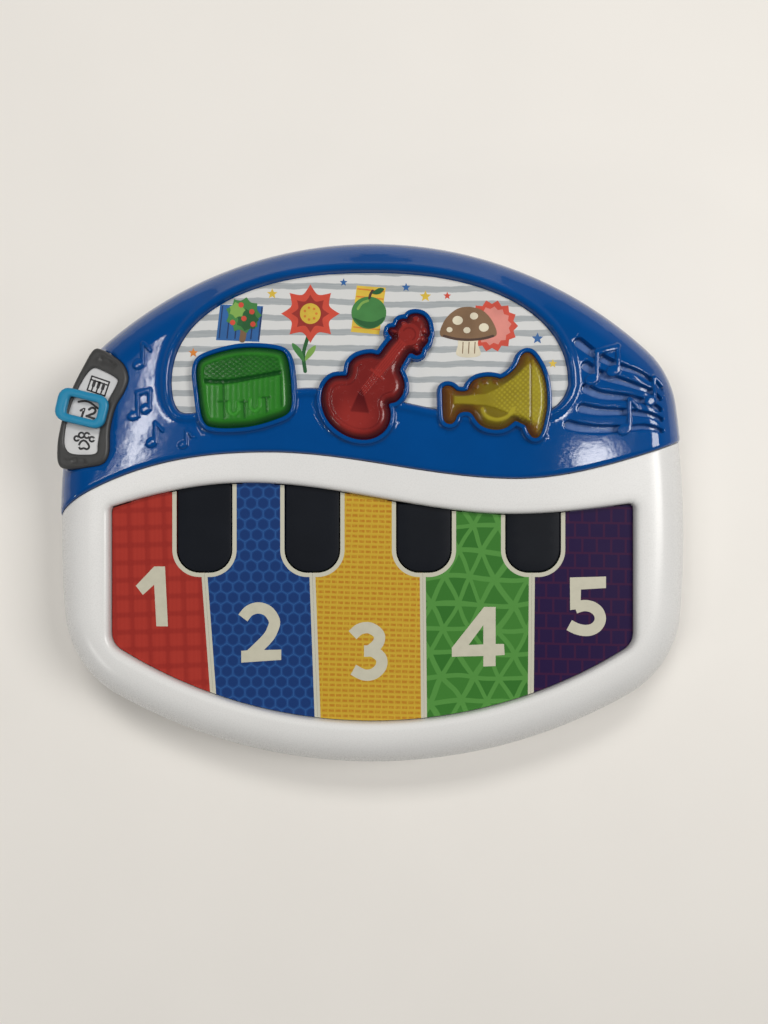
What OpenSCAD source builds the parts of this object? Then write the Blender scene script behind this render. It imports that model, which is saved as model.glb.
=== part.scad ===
// Toy electronic keyboard: moulded casing, five hinged keys, three push buttons and a mode slider.
// Millimetres. Origin at the middle of the underside, +X right, +Y to the back, +Z up.

/* [Casing] */
// Width of the casing
body_w = 264; // [248:1:280]
// Depth of the casing, front to back
body_d = 220; // [208:1:234]
// Height of the white rim
rim_h = 44; // [43:0.5:48]
// Height of the parting line between base and covers
base_h = 16; // [14:0.5:18]
// Height at which the covers start to curve inwards
edge_z = 22; // [20:0.5:24]
// How far the covers curve inwards
edge_run = 18; // [15:0.5:19]
// Wall of the casing
wall = 2.5; // [2:0.1:3]
// Radius of the back arc
back_r = 171; // [162:1:182]
// Radius of the front arc
front_r = 219; // [210:1:230]
// Radius of the side arcs
side_r = 400; // [350:10:450]
// Radius of the back corners
shoulder_r = 40; // [35:1:45]
// Radius of the front corners
corner_r = 45; // [40:1:50]
// Height of the blue cover above the white rim
cover_step = 1.5; // [1:0.1:2]
// Gap between casing pieces that meet edge to edge
seam = 0.15; // [0.1:0.05:0.3]

/* [Keys] */
// Width of the white border beside the key window
side_border = 25.5; // [24:0.5:28]
// Width of the white border in front of the key window
front_border = 21; // [20:0.5:23]
// Radius of the front edge of the key window
window_r = 195; // [185:1:205]
// Radius of the front corners of the key window
window_corner_r = 8; // [5:0.5:10]
// Height of the printed faces of the keys
key_z = 40; // [39.5:0.1:40.4]
// Thickness of a key plate
key_t = 3; // [2.4:0.1:3.4]
// Thickness of the printed film
film_t = 0.3; // [0.2:0.05:0.5]
// Gap round each key
key_gap = 0.4; // [0.3:0.05:0.6]
// Width of a dark tab
tab_w = 22; // [20:0.5:23]
// Distance from the middle to the front end of the dark tabs
tab_front = 28; // [25:0.5:31]
// Radius of the front corners of the dark tabs
tab_r = 7; // [5:0.5:8]
// Radius of the hinge rod
rod_r = 1.5; // [1.3:0.05:1.7]
// Running clearance round the hinge rod
rod_gap = 0.05; // [0.03:0.01:0.08]
// Radius of the rubber domes under the keys
key_dome_r = 5; // [4:0.25:6]
// Distance from the middle to the row of domes
key_dome_y = -30; // [-36:1:-26]

/* [Buttons] */
// Height of the tops of the buttons
button_z = 49.5; // [49:0.1:51]
// Height of the rims round the buttons
button_rim_z = 47.5; // [47:0.1:48]
// Width of the rims round the buttons
button_rim_w = 1.8; // [1.4:0.1:2.2]
// Gap between a button and its hole
button_gap = 0.35; // [0.3:0.05:0.5]
// Width of the flange that holds a button in
flange_w = 1.2; // [1:0.1:1.6]
// Wall of a button
button_wall = 1.6; // [1.2:0.1:2]
// Radius of the rubber domes under the buttons
button_dome_r = 5; // [4:0.25:5.5]
// Travel of the buttons
button_travel = 2; // [1.5:0.1:2.5]
// Depth of the pocket that holds the picture panel
panel_drop = 2.5; // [2:0.1:3]
// Thickness of the picture panel
panel_t = 0.6; // [0.4:0.1:0.9]
// Width of the bead round the picture panel
bead_w = 4; // [3:0.25:5]
// Height of the bead above the cover
bead_h = 1; // [0.6:0.1:1.4]

/* [Mode switch] */
// Radius of the path of the mode slider
slider_path_r = 117.5; // [116.5:0.5:118.5]
// Angle of the middle position of the mode slider
slider_angle = 166.5; // [165.5:0.5:167.5]
// Turn of the slider to each end position
slider_turn = 5.5; // [4.5:0.25:6]
// Height of the grey bezel
bezel_z = 46.5; // [46:0.1:47.5]
// Thickness of the slider ring
ring_t = 2.7; // [2.2:0.1:3.2]
// Gap under the slider ring, and round its leg
slider_gap = 0.3; // [0.25:0.05:0.4]
// Thickness of the printed label
label_t = 0.5; // [0.3:0.1:0.8]

/* [Inside] */
// Thickness of the circuit boards
board_t = 1.6; // [1.2:0.1:2]
// Height of the main board
main_board_z = 30; // [28:0.5:31]
// Height of the board under the keys
key_board_z = 27; // [25:0.5:28.5]
// Radius of a battery cell
cell_r = 7.2; // [7:0.05:7.25]
// Length of a battery cell
cell_l = 50.5; // [49.5:0.1:50.5]
// Distance between neighbouring cells
cell_pitch = 15.2; // [14.8:0.1:15.6]
// Room for the contacts at each end of the cells
contact_room = 3.5; // [3:0.1:4.5]
// Wall of the battery well
well_wall = 4; // [3:0.25:5]
// Radius of the speaker
speaker_r = 20; // [17:0.5:20.5]
// Radius of the casing screws
screw_r = 1.3; // [1.1:0.05:1.5]
// Radius of the screw heads
screw_head_r = 2.8; // [2.4:0.1:3.2]
// Clearance round a screw in a plain hole
screw_gap = 0.35; // [0.2:0.05:0.5]
// Travel of the power knob to each side
knob_travel = 4; // [3:0.25:5]

/* [Hidden] */
key_names = ["key_1", "key_2", "key_3", "key_4", "key_5"];

blue = [0.08, 0.28, 0.60];
white = [0.90, 0.90, 0.90];
key_colours = ["firebrick", "royalblue", "goldenrod", "forestgreen", "indigo"];
tiny = 0.01;
far = 400;

// Places are given for a casing of 264 by 220, and move with its width and depth
kx = body_w / 264;
ky = body_d / 220;
function placed(p) = [p[0] * kx, p[1] * ky];
function placed_all(list) = [for (p = list) placed(p)];
// Curve knots hold a slope, notes hold a stem length
function placed_knots(list) = [for (k = list) [k[0] * kx, k[1] * ky, k[2] * ky / kx]];
function placed_notes(list) = [for (n = list) [n[0] * kx, n[1] * ky, n[2]]];

// Curves

// Point at an angle on a circle
function polar(c, r, a) = c + r * [cos(a), sin(a)];
// Points along an arc, both ends included
function arc(c, r, a0, a1, n) = [for (i = [0:n]) polar(c, r, a0 + (a1 - a0) * i / n)];
// Direction from one point to another
function bearing(a, b) = atan2(b[1] - a[1], b[0] - a[0]);
// The right-hand crossing of two circles, above or below the line between their middles
function crossing(a, ra, b, rb, side) =
  let (d = norm(b - a), u = (b - a) / d, t = (ra * ra - rb * rb + d * d) / (2 * d))
  a + t * u + side * sqrt(ra * ra - t * t) * [u[1], -u[0]];
// Height of a curve that passes its knots [x, y, slope], straight beyond its ends
function knot_span(k, x) = max([for (i = [0:len(k) - 2]) x >= k[i][0] || i == 0 ? i : 0]);
function ease(a, b, x) =
  let (w = b[0] - a[0], t = (x - a[0]) / w)
  (1 - 3 * t * t + 2 * t * t * t) * a[1] + (t - 2 * t * t + t * t * t) * w * a[2]
  + (3 * t * t - 2 * t * t * t) * b[1] + (t * t * t - t * t) * w * b[2];
function through(k, x) =
  let (e = len(k) - 1)
  x < k[0][0] ? k[0][1] + (x - k[0][0]) * k[0][2]
  : x > k[e][0] ? k[e][1] + (x - k[e][0]) * k[e][2]
  : let (i = knot_span(k, x)) ease(k[i], k[i + 1], x);
// Closed smooth curve through points, with a few steps between neighbours
function blend(a, b, c, d, t) = 0.5 * (2 * b + (c - a) * t + (2 * a - 5 * b + 4 * c - d) * t * t
  + (3 * b - a - 3 * c + d) * t * t * t);
function loop(p, steps) =
  let (n = len(p))
  [for (i = [0:n - 1], s = [0:steps - 1])
    blend(p[(i + n - 1) % n], p[i], p[(i + 1) % n], p[(i + 2) % n], s / steps)];
// Open smooth curve through points
function route(p, steps) =
  let (n = len(p))
  concat([for (i = [0:n - 2], s = [0:steps - 1])
    blend(p[max(i - 1, 0)], p[i], p[i + 1], p[min(i + 2, n - 1)], s / steps)], [p[n - 1]]);

// Outline of the casing, drawn in by d on every side
side_y = -14 * ky;
back_c = [0, body_d / 2 - back_r];
front_c = [0, front_r - body_d / 2];
side_c = [body_w / 2 - side_r, side_y];
shoulder_c = crossing(back_c, back_r - shoulder_r, side_c, side_r - shoulder_r, 1);
corner_c = crossing(front_c, front_r - corner_r, side_c, side_r - corner_r, -1);
shoulder_a = bearing(back_c, shoulder_c);
waist_a = bearing(side_c, shoulder_c);
hip_a = bearing(side_c, corner_c);
corner_a = bearing(front_c, corner_c);
function half_outline(d) = concat(
  arc(back_c, back_r - d, 90, shoulder_a, 8),
  arc(shoulder_c, shoulder_r - d, shoulder_a - 10, waist_a, 5),
  arc(side_c, side_r - d, waist_a - 3, hip_a, 3),
  arc(corner_c, corner_r - d, hip_a - 11, corner_a, 5),
  arc(front_c, front_r - d, corner_a - 5, -90, 5)
);
function outline(d) =
  let (h = half_outline(d), n = len(h))
  concat([for (i = [n - 1:-1:0]) h[i]], [for (i = [1:n - 2]) [-h[i][0], h[i][1]]]);

// The wavy edge of the blue cover, the back edge of the key window and the front edge of the panel
wave_knots = placed_knots([[-126, -2, 0.67], [-42, 20.7, 0], [58, 10, 0], [126, 25.2, 0.33]]);
window_knots = placed_knots([[-107, -1.9, 0.33], [-50, 8.3, 0], [57, -4.4, 0], [107, 0.2, 0.14]]);
panel_knots = placed_knots([[-78, 35.5, 0.12], [-25, 46.5, 0], [48, 35.5, 0], [78, 38.5, 0.2]]);
wave_hw = body_w / 2 + 12;
wave_steps = 48;
function wave_line(d) = [for (i = [0:wave_steps])
  let (x = wave_hw * (2 * i / wave_steps - 1)) [x, through(wave_knots, x) + d]];

// Ring stack to solid: each ring has as many points, and the ends are closed
module stack(rings) {
  n = len(rings[0]);
  m = len(rings);
  polyhedron(
    points = [for (r = rings) each r],
    faces = concat(
      [[for (i = [0:n - 1]) i]],
      [[for (i = [n - 1:-1:0]) (m - 1) * n + i]],
      [for (k = [0:m - 2], i = [0:n - 1]) [k * n + i, (k + 1) * n + (i + 1) % n, k * n + (i + 1) % n]],
      [for (k = [0:m - 2], i = [0:n - 1]) [k * n + i, (k + 1) * n + i, (k + 1) * n + (i + 1) % n]]
    )
  );
}
function lift(p, z) = [for (q = p) [q[0], q[1], z]];
function flip(rings) = [for (i = [len(rings) - 1:-1:0]) rings[i]];

// Rings of a domed cover of a given height, from the parting line to the top
edge_steps = 6;
function dome_rings(low, top, inset) = concat(
  [lift(outline(inset), low)],
  [for (i = [0:edge_steps])
    let (a = 90 * i / edge_steps)
    lift(outline(inset + (edge_run - inset) * (1 - cos(a))), edge_z + (top - edge_z) * sin(a))]
);
// Domed shell, open below
module dome_shell(top, inset) {
  stack(concat(flip(dome_rings(base_h, top - wall, inset + wall)), dome_rings(base_h, top, inset)));
}
// Everything on the front side, or the back side, of the wavy edge moved by d
module front_side(d) {
  translate([0, 0, -far / 2]) linear_extrude(far)
    polygon(concat(wave_line(d), [[wave_hw, -far], [-wave_hw, -far]]));
}
module back_side(d) {
  translate([0, 0, -far / 2]) linear_extrude(far)
    polygon(concat(wave_line(d), [[wave_hw, far], [-wave_hw, far]]));
}
// Flat plate of a 2D shape between two heights
module plate(z0, z1) {
  translate([0, 0, z0]) linear_extrude(z1 - z0) children();
}
module post(p, r, z0, z1) {
  translate([p[0], p[1], z0]) cylinder(r = r, h = z1 - z0, $fn = 48);
}
// Round bar along X
module bar_x(x0, x1, y, z, r) {
  translate([x0, y, z]) rotate([0, 90, 0]) cylinder(r = r, h = x1 - x0, $fn = 48);
}

// Key window, grown by g
window_hw = body_w / 2 - side_border;
window_front = body_d / 2 - front_border;
function window_points(g) =
  let (hw = window_hw + g, r = window_corner_r + g, c = [0, window_r - window_front],
       cy = c[1] - sqrt(pow(window_r - window_corner_r, 2) - pow(window_hw - window_corner_r, 2)),
       cc = [window_hw - window_corner_r, cy], a = bearing(c, cc))
  concat(
    [for (i = [0:24]) let (x = -hw + 2 * hw * i / 24) [x, through(window_knots, x) + g]],
    arc(cc, r, 0, a, 5),
    [for (p = arc(c, window_r + g, a, -180 - a, 24)) p],
    arc([-cc[0], cc[1]], r, -180 - a, -180, 5)
  );

// Keys: lines between neighbours lean a little, the hinge arms pass between the dark tabs
key_edges = kx * [[-130, -130], [-68.5, -64.5], [-24.5, -22.5], [20.5, 21], [65, 64.5], [130, 130]];
tab_xs = kx * [-68.5, -24.5, 21, 65.5];
arm_ends = kx * [[-98.5, -83], [-53, -40], [-9, 6], [36.5, 50], [80.5, 98.5]];
arm_front = -12 * ky;
key_tops = key_z - film_t;
key_low = key_tops - key_t;
eye_wall = 2.2;
eye_r = rod_r + eye_wall;
hinge_y = 20.2 * ky;
hinge_z = key_tops - eye_r;
divider_back = -tab_front - 1.5;
divider_front = 5 - window_front;
strip_end = body_d / 2;
function edge_x(e, y) = e[0] + (e[1] - e[0]) * (y - divider_back) / (divider_front - divider_back);
module key_strip(i) {
  a = key_edges[i];
  b = key_edges[i + 1];
  half = key_gap / 2;
  polygon([[edge_x(a, strip_end) + half, strip_end], [edge_x(b, strip_end) - half, strip_end],
           [edge_x(b, -strip_end) - half, -strip_end], [edge_x(a, -strip_end) + half, -strip_end]]);
}
// A dark tab seen from above, grown by g, with round front corners
module tab_outline(x, g) {
  hw = tab_w / 2 + g;
  r = tab_r + g;
  polygon(concat(
    [[x - hw, hinge_y], [x - hw, tab_r - tab_front]],
    arc([x - hw + r, tab_r - tab_front], r, 180, 270, 6),
    arc([x + hw - r, tab_r - tab_front], r, 270, 360, 6),
    [[x + hw, hinge_y]]
  ));
}
module key_face(i) {
  difference() {
    intersection() {
      key_strip(i);
      polygon(window_points(-key_gap));
    }
    for (x = tab_xs) tab_outline(x, key_gap);
  }
}
module arm_face(i, back) {
  x0 = arm_ends[i][0];
  x1 = arm_ends[i][1];
  polygon([[x0, back], [x1, back], [x1, arm_front], [x0, arm_front]]);
}
module key(i) {
  x0 = arm_ends[i][0];
  x1 = arm_ends[i][1];
  color(key_colours[i]) difference() {
    union() {
      plate(key_low, key_tops) key_face(i);
      plate(key_low, key_tops) arm_face(i, hinge_y);
      bar_x(x0, x1, hinge_y, hinge_z, eye_r);
    }
    bar_x(x0 - 1, x1 + 1, hinge_y, hinge_z, rod_r + rod_gap);
  }
}
module key_film(i) {
  color(key_colours[i]) plate(key_tops, key_z) key_face(i);
}
dome_wall = 1.2;
dome_foot_h = 0.8;
dome_roof_t = 1.6;
dome_share = 0.62;
key_dome_xs = kx * [-86, -45, -1, 43, 86];
module dome(p, r, z0, z1) {
  h = z1 - z0;
  color("dimgray") translate([p[0], p[1], z0]) rotate_extrude($fn = 48)
    polygon([[r - dome_wall, 0], [r, 0], [r, dome_foot_h], [r * dome_share, h], [0, h], [0, h - dome_roof_t],
             [r * dome_share - 1, h - dome_roof_t]]);
}
module key_dome(i) {
  dome([key_dome_xs[i], key_dome_y], key_dome_r, key_board_z + board_t, key_low);
}

crossbar_t = 3;
crossbar_low = rim_h - crossbar_t;
// How far the roots of the dark tabs reach under the crossbar, and the step where they start
root_l = 9;
root_step = 1;
tab_reach = 3;
module black_key_tabs() {
  color([0.13, 0.14, 0.17]) for (x = tab_xs) {
    plate(key_low, key_z) intersection() {
      tab_outline(x, 0);
      polygon(window_points(tab_reach));
    }
    // The root of the tab reaches up to the underside of the crossbar
    plate(key_low, crossbar_low) intersection() {
      tab_outline(x, 0);
      difference() {
        polygon(window_points(root_l));
        polygon(window_points(root_step));
      }
    }
  }
}

// Hinge rod, carried by posts between the keys
post_xs = kx * [-101.5, -68.5, -24.5, 21, 65.5, 101.5];
post_w = 4;
post_d = 6;
rod_half = post_xs[5] + post_w / 2;
module key_hinge_rod() {
  color("silver") bar_x(-rod_half, rod_half, hinge_y, hinge_z, rod_r);
}

// White upper casing with the key window and the crossbar
white_inset = 0.5;
cover_z = rim_h + cover_step;
lip_l = 5;
lip_t = cover_z - wall - seam - crossbar_low;
collar_w = 2;
boss_r = 4;
boss_bite = 0.5;
side_boss = [window_hw + collar_w + boss_r - boss_bite, -32 * ky];
boss_depth = 9.5;
front_boss = polar(front_c, front_r - boss_depth, -74);
back_boss = polar(back_c, back_r - boss_depth, 72);
function mirrored(p) = [[-p[0], p[1]], p];
front_screws = concat(mirrored(side_boss), mirrored(front_boss));
back_screws = mirrored(back_boss);
boss_top = 36.5;
thread_gap = 0.05;
boss_roof = 4;
pilot_top = boss_top - boss_roof;
module cover_boss(p) {
  difference() {
    post(p, boss_r, base_h, boss_top);
    post(p, screw_r + thread_gap, base_h - 1, pilot_top);
  }
}
crossbar_front = -8 * ky;
collar_back = -10 * ky;
module crossbar_face(d) {
  intersection() {
    difference() {
      polygon(concat(wave_line(d), [[wave_hw, crossbar_front], [-wave_hw, crossbar_front]]));
      polygon(window_points(0));
    }
    polygon(outline(edge_run));
  }
}
module front_cover() {
  color(white) {
    difference() {
      union() {
        intersection() {
          dome_shell(rim_h, white_inset);
          front_side(-seam);
        }
        plate(crossbar_low, rim_h) crossbar_face(-seam);
        plate(crossbar_low, crossbar_low + lip_t) crossbar_face(lip_l);
        plate(key_low - 1, rim_h - 1) intersection() {
          difference() {
            polygon(window_points(collar_w));
            translate([-wave_hw, collar_back]) square([2 * wave_hw, body_d]);
          }
          polygon(outline(white_inset + wall));
        }
      }
      plate(0, far) polygon(window_points(0));
    }
    for (p = front_screws) cover_boss(p);
  }
}

// Buttons: outlines of a drum, a fiddle and a horn, each a smooth curve
drum_points = placed_all([
  [-69.8, 54], [-66, 58.2], [-52.5, 61.6], [-38.5, 61], [-34.2, 57.5], [-32.6, 45], [-33.2, 37],
  [-39, 33.6], [-50, 30.7], [-62.5, 30.4], [-67.3, 33.2], [-69.2, 44]
]);
violin_points = placed_all([
  [16, 75], [21, 72.5], [22.4, 67], [21, 61.8], [15.5, 59.5], [11.2, 56.2], [11, 52.5], [12.5, 47],
  [11.2, 42], [7.2, 39.6], [5.8, 37], [6.8, 32], [3.5, 28], [-3, 26], [-9.5, 26.2], [-15.5, 29.2],
  [-19.3, 34.2], [-20.8, 40], [-19.3, 46.5], [-15, 49.5], [-11, 50.4], [-9.6, 52.4], [-8.2, 56.6],
  [-4, 58.8], [1.5, 59], [5.5, 61.2], [7.6, 64.2], [6.5, 68], [9, 71.5]
]);
trumpet_points = placed_all([
  [28.4, 44.8], [30, 46.2], [32, 45.2], [35, 43.6], [38.4, 44], [39.4, 47], [43, 49.2], [47, 49.7],
  [50.5, 49], [55, 50.6], [58.6, 53.4], [60, 58], [62, 59.6], [64.2, 58], [67.6, 50], [69.3, 41],
  [69, 34], [67.5, 28], [65.4, 26.2], [63, 27.6], [61.4, 31.6], [58, 33], [54.5, 31], [50, 29.5],
  [46, 30.2], [42.4, 33], [39, 36], [35, 36.4], [32.6, 34], [30.6, 32.2], [28.6, 34.5]
]);
drum_mid = placed([-51, 46]);
violin_mid = placed([-5, 41]);
trumpet_mid = placed([50, 40]);
panel_floor = cover_z - panel_drop;
flange_gap = 0.3;
flange_z = panel_floor - wall - flange_gap;
flange_t = 2;
flange_low = flange_z - flange_t;
roof_t = 3;
// The step round the top of a button, its height and its width
step_h = 1;
step_w = 0.9;
stem_r = 4;
module button_shape(points) {
  polygon(loop(points, 3));
}
module button(points, mid) {
  difference() {
    union() {
      plate(flange_low, button_z - step_h) button_shape(points);
      plate(button_z - step_h, button_z) offset(delta = -step_w) button_shape(points);
      plate(flange_low, flange_z) offset(delta = button_gap + flange_w) button_shape(points);
    }
    difference() {
      plate(flange_low - 1, button_z - roof_t) offset(delta = -button_wall) button_shape(points);
      post(mid, stem_r, flange_low, button_z);
    }
  }
}
module drum_button() { color([0.2, 0.55, 0.2]) button(drum_points, drum_mid); }
module violin_button() { color([0.65, 0.12, 0.12]) button(violin_points, violin_mid); }
module trumpet_button() { color([0.75, 0.62, 0.1]) button(trumpet_points, trumpet_mid); }
main_board_top = main_board_z + board_t;
module drum_dome() { dome(drum_mid, button_dome_r, main_board_top, flange_low); }
module violin_dome() { dome(violin_mid, button_dome_r, main_board_top, flange_low); }
module trumpet_dome() { dome(trumpet_mid, button_dome_r, main_board_top, flange_low); }

// Picture panel: a flattened half oval above a wavy front edge
panel_c = placed([-1, 47.5]);
panel_hw = 80 * kx;
panel_rise = 45.3 * ky;
panel_power = 2.25;
function oval(v) = sign(v) * pow(abs(v), 2 / panel_power);
function panel_points(g) = concat(
  [for (i = [0:32]) let (a = 180 * i / 32)
    panel_c + [(panel_hw + g) * oval(cos(a)), (panel_rise + g) * oval(sin(a))]],
  [placed([-80.2, 41.5]) - [g, 0], placed([-77.6, 36.9]) - 0.7 * [g, g]],
  [for (i = [-73:6:71]) let (x = i * kx) [x, through(panel_knots, x) - g]],
  [placed([74.5, 39.6]) + 0.7 * [g, -g], placed([77.6, 43.5]) + [g, 0]]
);
panel_gap = 0.2;
module button_holes(g) {
  for (p = [drum_points, violin_points, trumpet_points]) offset(delta = button_gap + g) button_shape(p);
}
module picture_panel() {
  color("gainsboro") plate(panel_floor, panel_floor + panel_t) difference() {
    polygon(panel_points(0));
    button_holes(button_rim_w + panel_gap);
  }
}

// Ribbon of even width along points
function side_step(p, i) =
  let (n = len(p), v = p[min(i + 1, n - 1)] - p[max(i - 1, 0)])
  [-v[1], v[0]] / norm(v);
function ribbon(p, w) = concat(
  [for (i = [0:len(p) - 1]) p[i] + side_step(p, i) * w / 2],
  [for (i = [len(p) - 1:-1:0]) p[i] - side_step(p, i) * w / 2]
);

// Speaker grille: five flowing slots like the lines of a stave
groove_w = 3;
groove_depth = 1.5;
bridge_gap = 0.1;
slit_w = 1;
grille_lines = [for (g = [
  [[83, 64.5], [90, 59.5], [98, 55.5], [107, 52.5], [112, 49.8]],
  [[86, 55], [92, 51.5], [103, 48], [111.5, 45], [116, 42]],
  [[86, 46], [92, 43.4], [101.5, 42.4], [110.5, 40.4], [116, 37.6]],
  [[84.5, 38], [92, 36.8], [103, 36.5], [111, 35.4], [116.5, 33.6]],
  [[79, 31.4], [84, 30.2], [92, 29.6], [103, 30], [110, 30.6], [116.5, 29]]
]) placed_all(g)];
// Raised notes: heads, stems and beams or flags
head_l = 5.6;
head_w = 4.2;
stem_w = 1.6;
note_h = 0.8;
note_low = 1.6;
left_notes = placed_notes([[-94.5, 55.5, 8.5], [-88.5, 24, 7.5], [-75.5, 23.5, 6]]);
left_pair = placed_notes([[-96, 35, 9], [-90.8, 37.5, 8.5]]);
right_notes = placed_notes([[111.5, 41, 9.5], [101, 29.5, 12]]);
right_pair = placed_notes([[88, 49.5, 11], [96.5, 53, 10]]);
module note(n) {
  turn = 25;
  stem_x = n[0] + head_l / 2 - stem_w / 2;
  polygon([for (i = [0:15]) let (a = 22.5 * i, x = head_l / 2 * cos(a), y = head_w / 2 * sin(a))
    [n[0] + x * cos(turn) - y * sin(turn), n[1] + x * sin(turn) + y * cos(turn)]]);
  translate([stem_x - stem_w / 2, n[1]]) square([stem_w, n[2]]);
}
module flag(n) {
  x = n[0] + head_l / 2 - stem_w / 2;
  y = n[1] + n[2];
  polygon(ribbon(route([[x, y - 0.7], [x + 1.8, y - 1.6], [x + 3.2, y - 3.6]], 3), stem_w));
}
module beam(a, b) {
  x0 = a[0] + head_l / 2 - stem_w;
  x1 = b[0] + head_l / 2;
  polygon([[x0, a[1] + a[2] - 1.2], [x1, b[1] + b[2] - 1.2], [x1, b[1] + b[2] + 1], [x0, a[1] + a[2] + 1]]);
}
module raised_notes() {
  for (n = concat(left_notes, right_notes)) {
    note(n);
    flag(n);
  }
  for (p = [left_pair, right_pair]) {
    note(p[0]);
    note(p[1]);
    beam(p[0], p[1]);
  }
}

// Mode switch: a grey bezel let into the left shoulder, with a label and a ring that slides round it.
// Its places are from the middle of the shoulder, and so move with it.
mode_c = [-shoulder_c[0], shoulder_c[1]];
function by_shoulder(list) = [for (p = list) p + mode_c];
pivot = mode_c + [88.6, -25.5];
bezel_low = 32;
bezel_roof = bezel_z - 4;
label_floor = bezel_z - 1.6;
bezel_wall = 2.2;
bezel_points = by_shoulder([
  [-23.4, 26], [-19.9, 26.1], [-15.4, 23.5], [-11.1, 20], [-9.2, 14.5], [-10.9, 9], [-13.9, 4],
  [-15.7, -1.5], [-16.7, -7.5], [-17, -15.5], [-19.4, -19.7], [-24.9, -21.1], [-34.4, -21.9],
  [-37.6, -19.5], [-37.9, -12.5], [-36.9, -6], [-34.9, 2], [-31.9, 10.5], [-27.9, 18.5]
]);
label_points = by_shoulder([
  [-23.4, 18.5], [-19.4, 17.5], [-13.9, 14.5], [-13.8, 12], [-16.9, 6], [-18.9, 0], [-20.4, -6],
  [-21.4, -12], [-22, -15.5], [-27.4, -16.1], [-32.4, -15.5], [-34.6, -13], [-34.8, -8.5],
  [-33.8, -2.5], [-31.9, 4.5], [-27.4, 14]
]);
ring_x = [-9, 11.5];
ring_hw = 6.8;
ring_window_x = [-5.3, 7];
ring_window_hw = 3.5;
leg_x = [-7.2, -5.8];
clip_x = [leg_x[0] - 0.4, leg_x[1] + 3];
leg_turn = 1.6;
// Spare turn at the ends of the slot, and how far the label is cut away outside it
slot_spare = 0.4;
label_cut = 5;
clip_t = 2;
function round_rect(x, hw, r) = concat(
  arc([x[1] - r, hw - r], r, 0, 90, 5), arc([x[0] + r, hw - r], r, 90, 180, 5),
  arc([x[0] + r, r - hw], r, 180, 270, 5), arc([x[1] - r, r - hw], r, 270, 360, 5));
module at_slider() {
  translate([pivot[0], pivot[1], 0]) rotate(slider_angle) children();
}
// Part of a ring about the slider's axis
module sector(x, turn, z0, z1) {
  from = slider_angle - turn;
  to = slider_angle + turn;
  plate(z0, z1) polygon(concat(
    arc(pivot, slider_path_r + x[0], to, from, 10), arc(pivot, slider_path_r + x[1], from, to, 10)));
}
module bezel_shape() { polygon(loop(bezel_points, 3)); }
module label_shape() { polygon(loop(label_points, 3)); }
module slider_slot(z0, z1) {
  sector([leg_x[0] - slider_gap, leg_x[1] + slider_gap], slider_turn + leg_turn + slot_spare, z0, z1);
}
module mode_bezel() {
  color("dimgray") difference() {
    plate(bezel_low, bezel_z) bezel_shape();
    plate(bezel_low - 1, bezel_roof) offset(delta = -bezel_wall) bezel_shape();
    plate(label_floor, bezel_z + 1) offset(delta = panel_gap) label_shape();
    slider_slot(bezel_roof - 1, bezel_z + 1);
  }
}
module mode_label() {
  color("whitesmoke") difference() {
    plate(label_floor, label_floor + label_t) label_shape();
    sector([leg_x[0] - label_cut, leg_x[1] + slider_gap], slider_turn + leg_turn + slot_spare,
           label_floor - 1, bezel_z);
  }
}
ring_low = bezel_z + slider_gap;
clip_top = bezel_roof - slider_gap;
module mode_slider() {
  color("deepskyblue") {
    at_slider() translate([slider_path_r, 0, 0]) plate(ring_low, ring_low + ring_t) difference() {
      polygon(round_rect(ring_x, ring_hw, 4));
      polygon(round_rect(ring_window_x, ring_window_hw, 1.2));
    }
    sector(leg_x, leg_turn, clip_top, ring_low + 1);
  }
}
module slider_clip() {
  color("deepskyblue") sector(clip_x, leg_turn + 0.6, clip_top - clip_t, clip_top);
}
mode_board_z = bezel_low + 2;
module mode_board() {
  color("darkgreen") plate(mode_board_z, mode_board_z + board_t)
    offset(delta = -bezel_wall - panel_gap) bezel_shape();
}

// Blue upper casing
module top_cover() {
  color(blue) {
    difference() {
      union() {
        difference() {
          union() {
            intersection() {
              dome_shell(cover_z, 0);
              back_side(0);
            }
            plate(panel_floor - wall, cover_z + bead_h) polygon(panel_points(bead_w));
          }
          plate(panel_floor, far) polygon(panel_points(panel_gap));
        }
        plate(panel_floor - wall, button_rim_z) button_holes(button_rim_w);
        plate(cover_z - note_low, cover_z + note_h) raised_notes();
      }
      plate(0, far) button_holes(0);
      plate(bezel_low - panel_gap, far) offset(delta = panel_gap) bezel_shape();
      for (g = grille_lines) {
        plate(cover_z - groove_depth, cover_z + bridge_gap) polygon(ribbon(route(g, 4), groove_w));
        plate(base_h, cover_z - groove_depth / 2) polygon(ribbon(route(g, 4), slit_w));
      }
    }
    for (p = back_screws) cover_boss(p);
  }
}

// Boards and what stands on them
board_x = kx * [-74, 70];
board_y = ky * [31, 60];
board_posts = placed_all([[-68, 34.5], [64, 34.5], [-68, 56.5], [64, 56.5]]);
key_board_x = 95 * kx;
key_board_hw = 8;
key_board_posts = [for (x = [-88, -40, 40, 88]) [x * kx, key_dome_y]];
light_gap = 0.3;
light_h = flange_low - main_board_top - button_travel - light_gap;
module main_board() {
  color("darkgreen") plate(main_board_z, main_board_top)
    translate([board_x[0], board_y[0]]) square([board_x[1] - board_x[0], board_y[1] - board_y[0]]);
}
module key_board() {
  color("darkgreen") plate(key_board_z, key_board_z + board_t)
    translate([-key_board_x, key_dome_y - key_board_hw]) square([2 * key_board_x, 2 * key_board_hw]);
}
module button_lights() {
  color("lightyellow") for (p = [drum_mid + [9, 0], violin_mid + [0, 9], trumpet_mid + [9, 1]])
    post(p, 1.8, main_board_top, main_board_top + light_h);
}
chip_c = placed([24, 50]);
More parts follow.
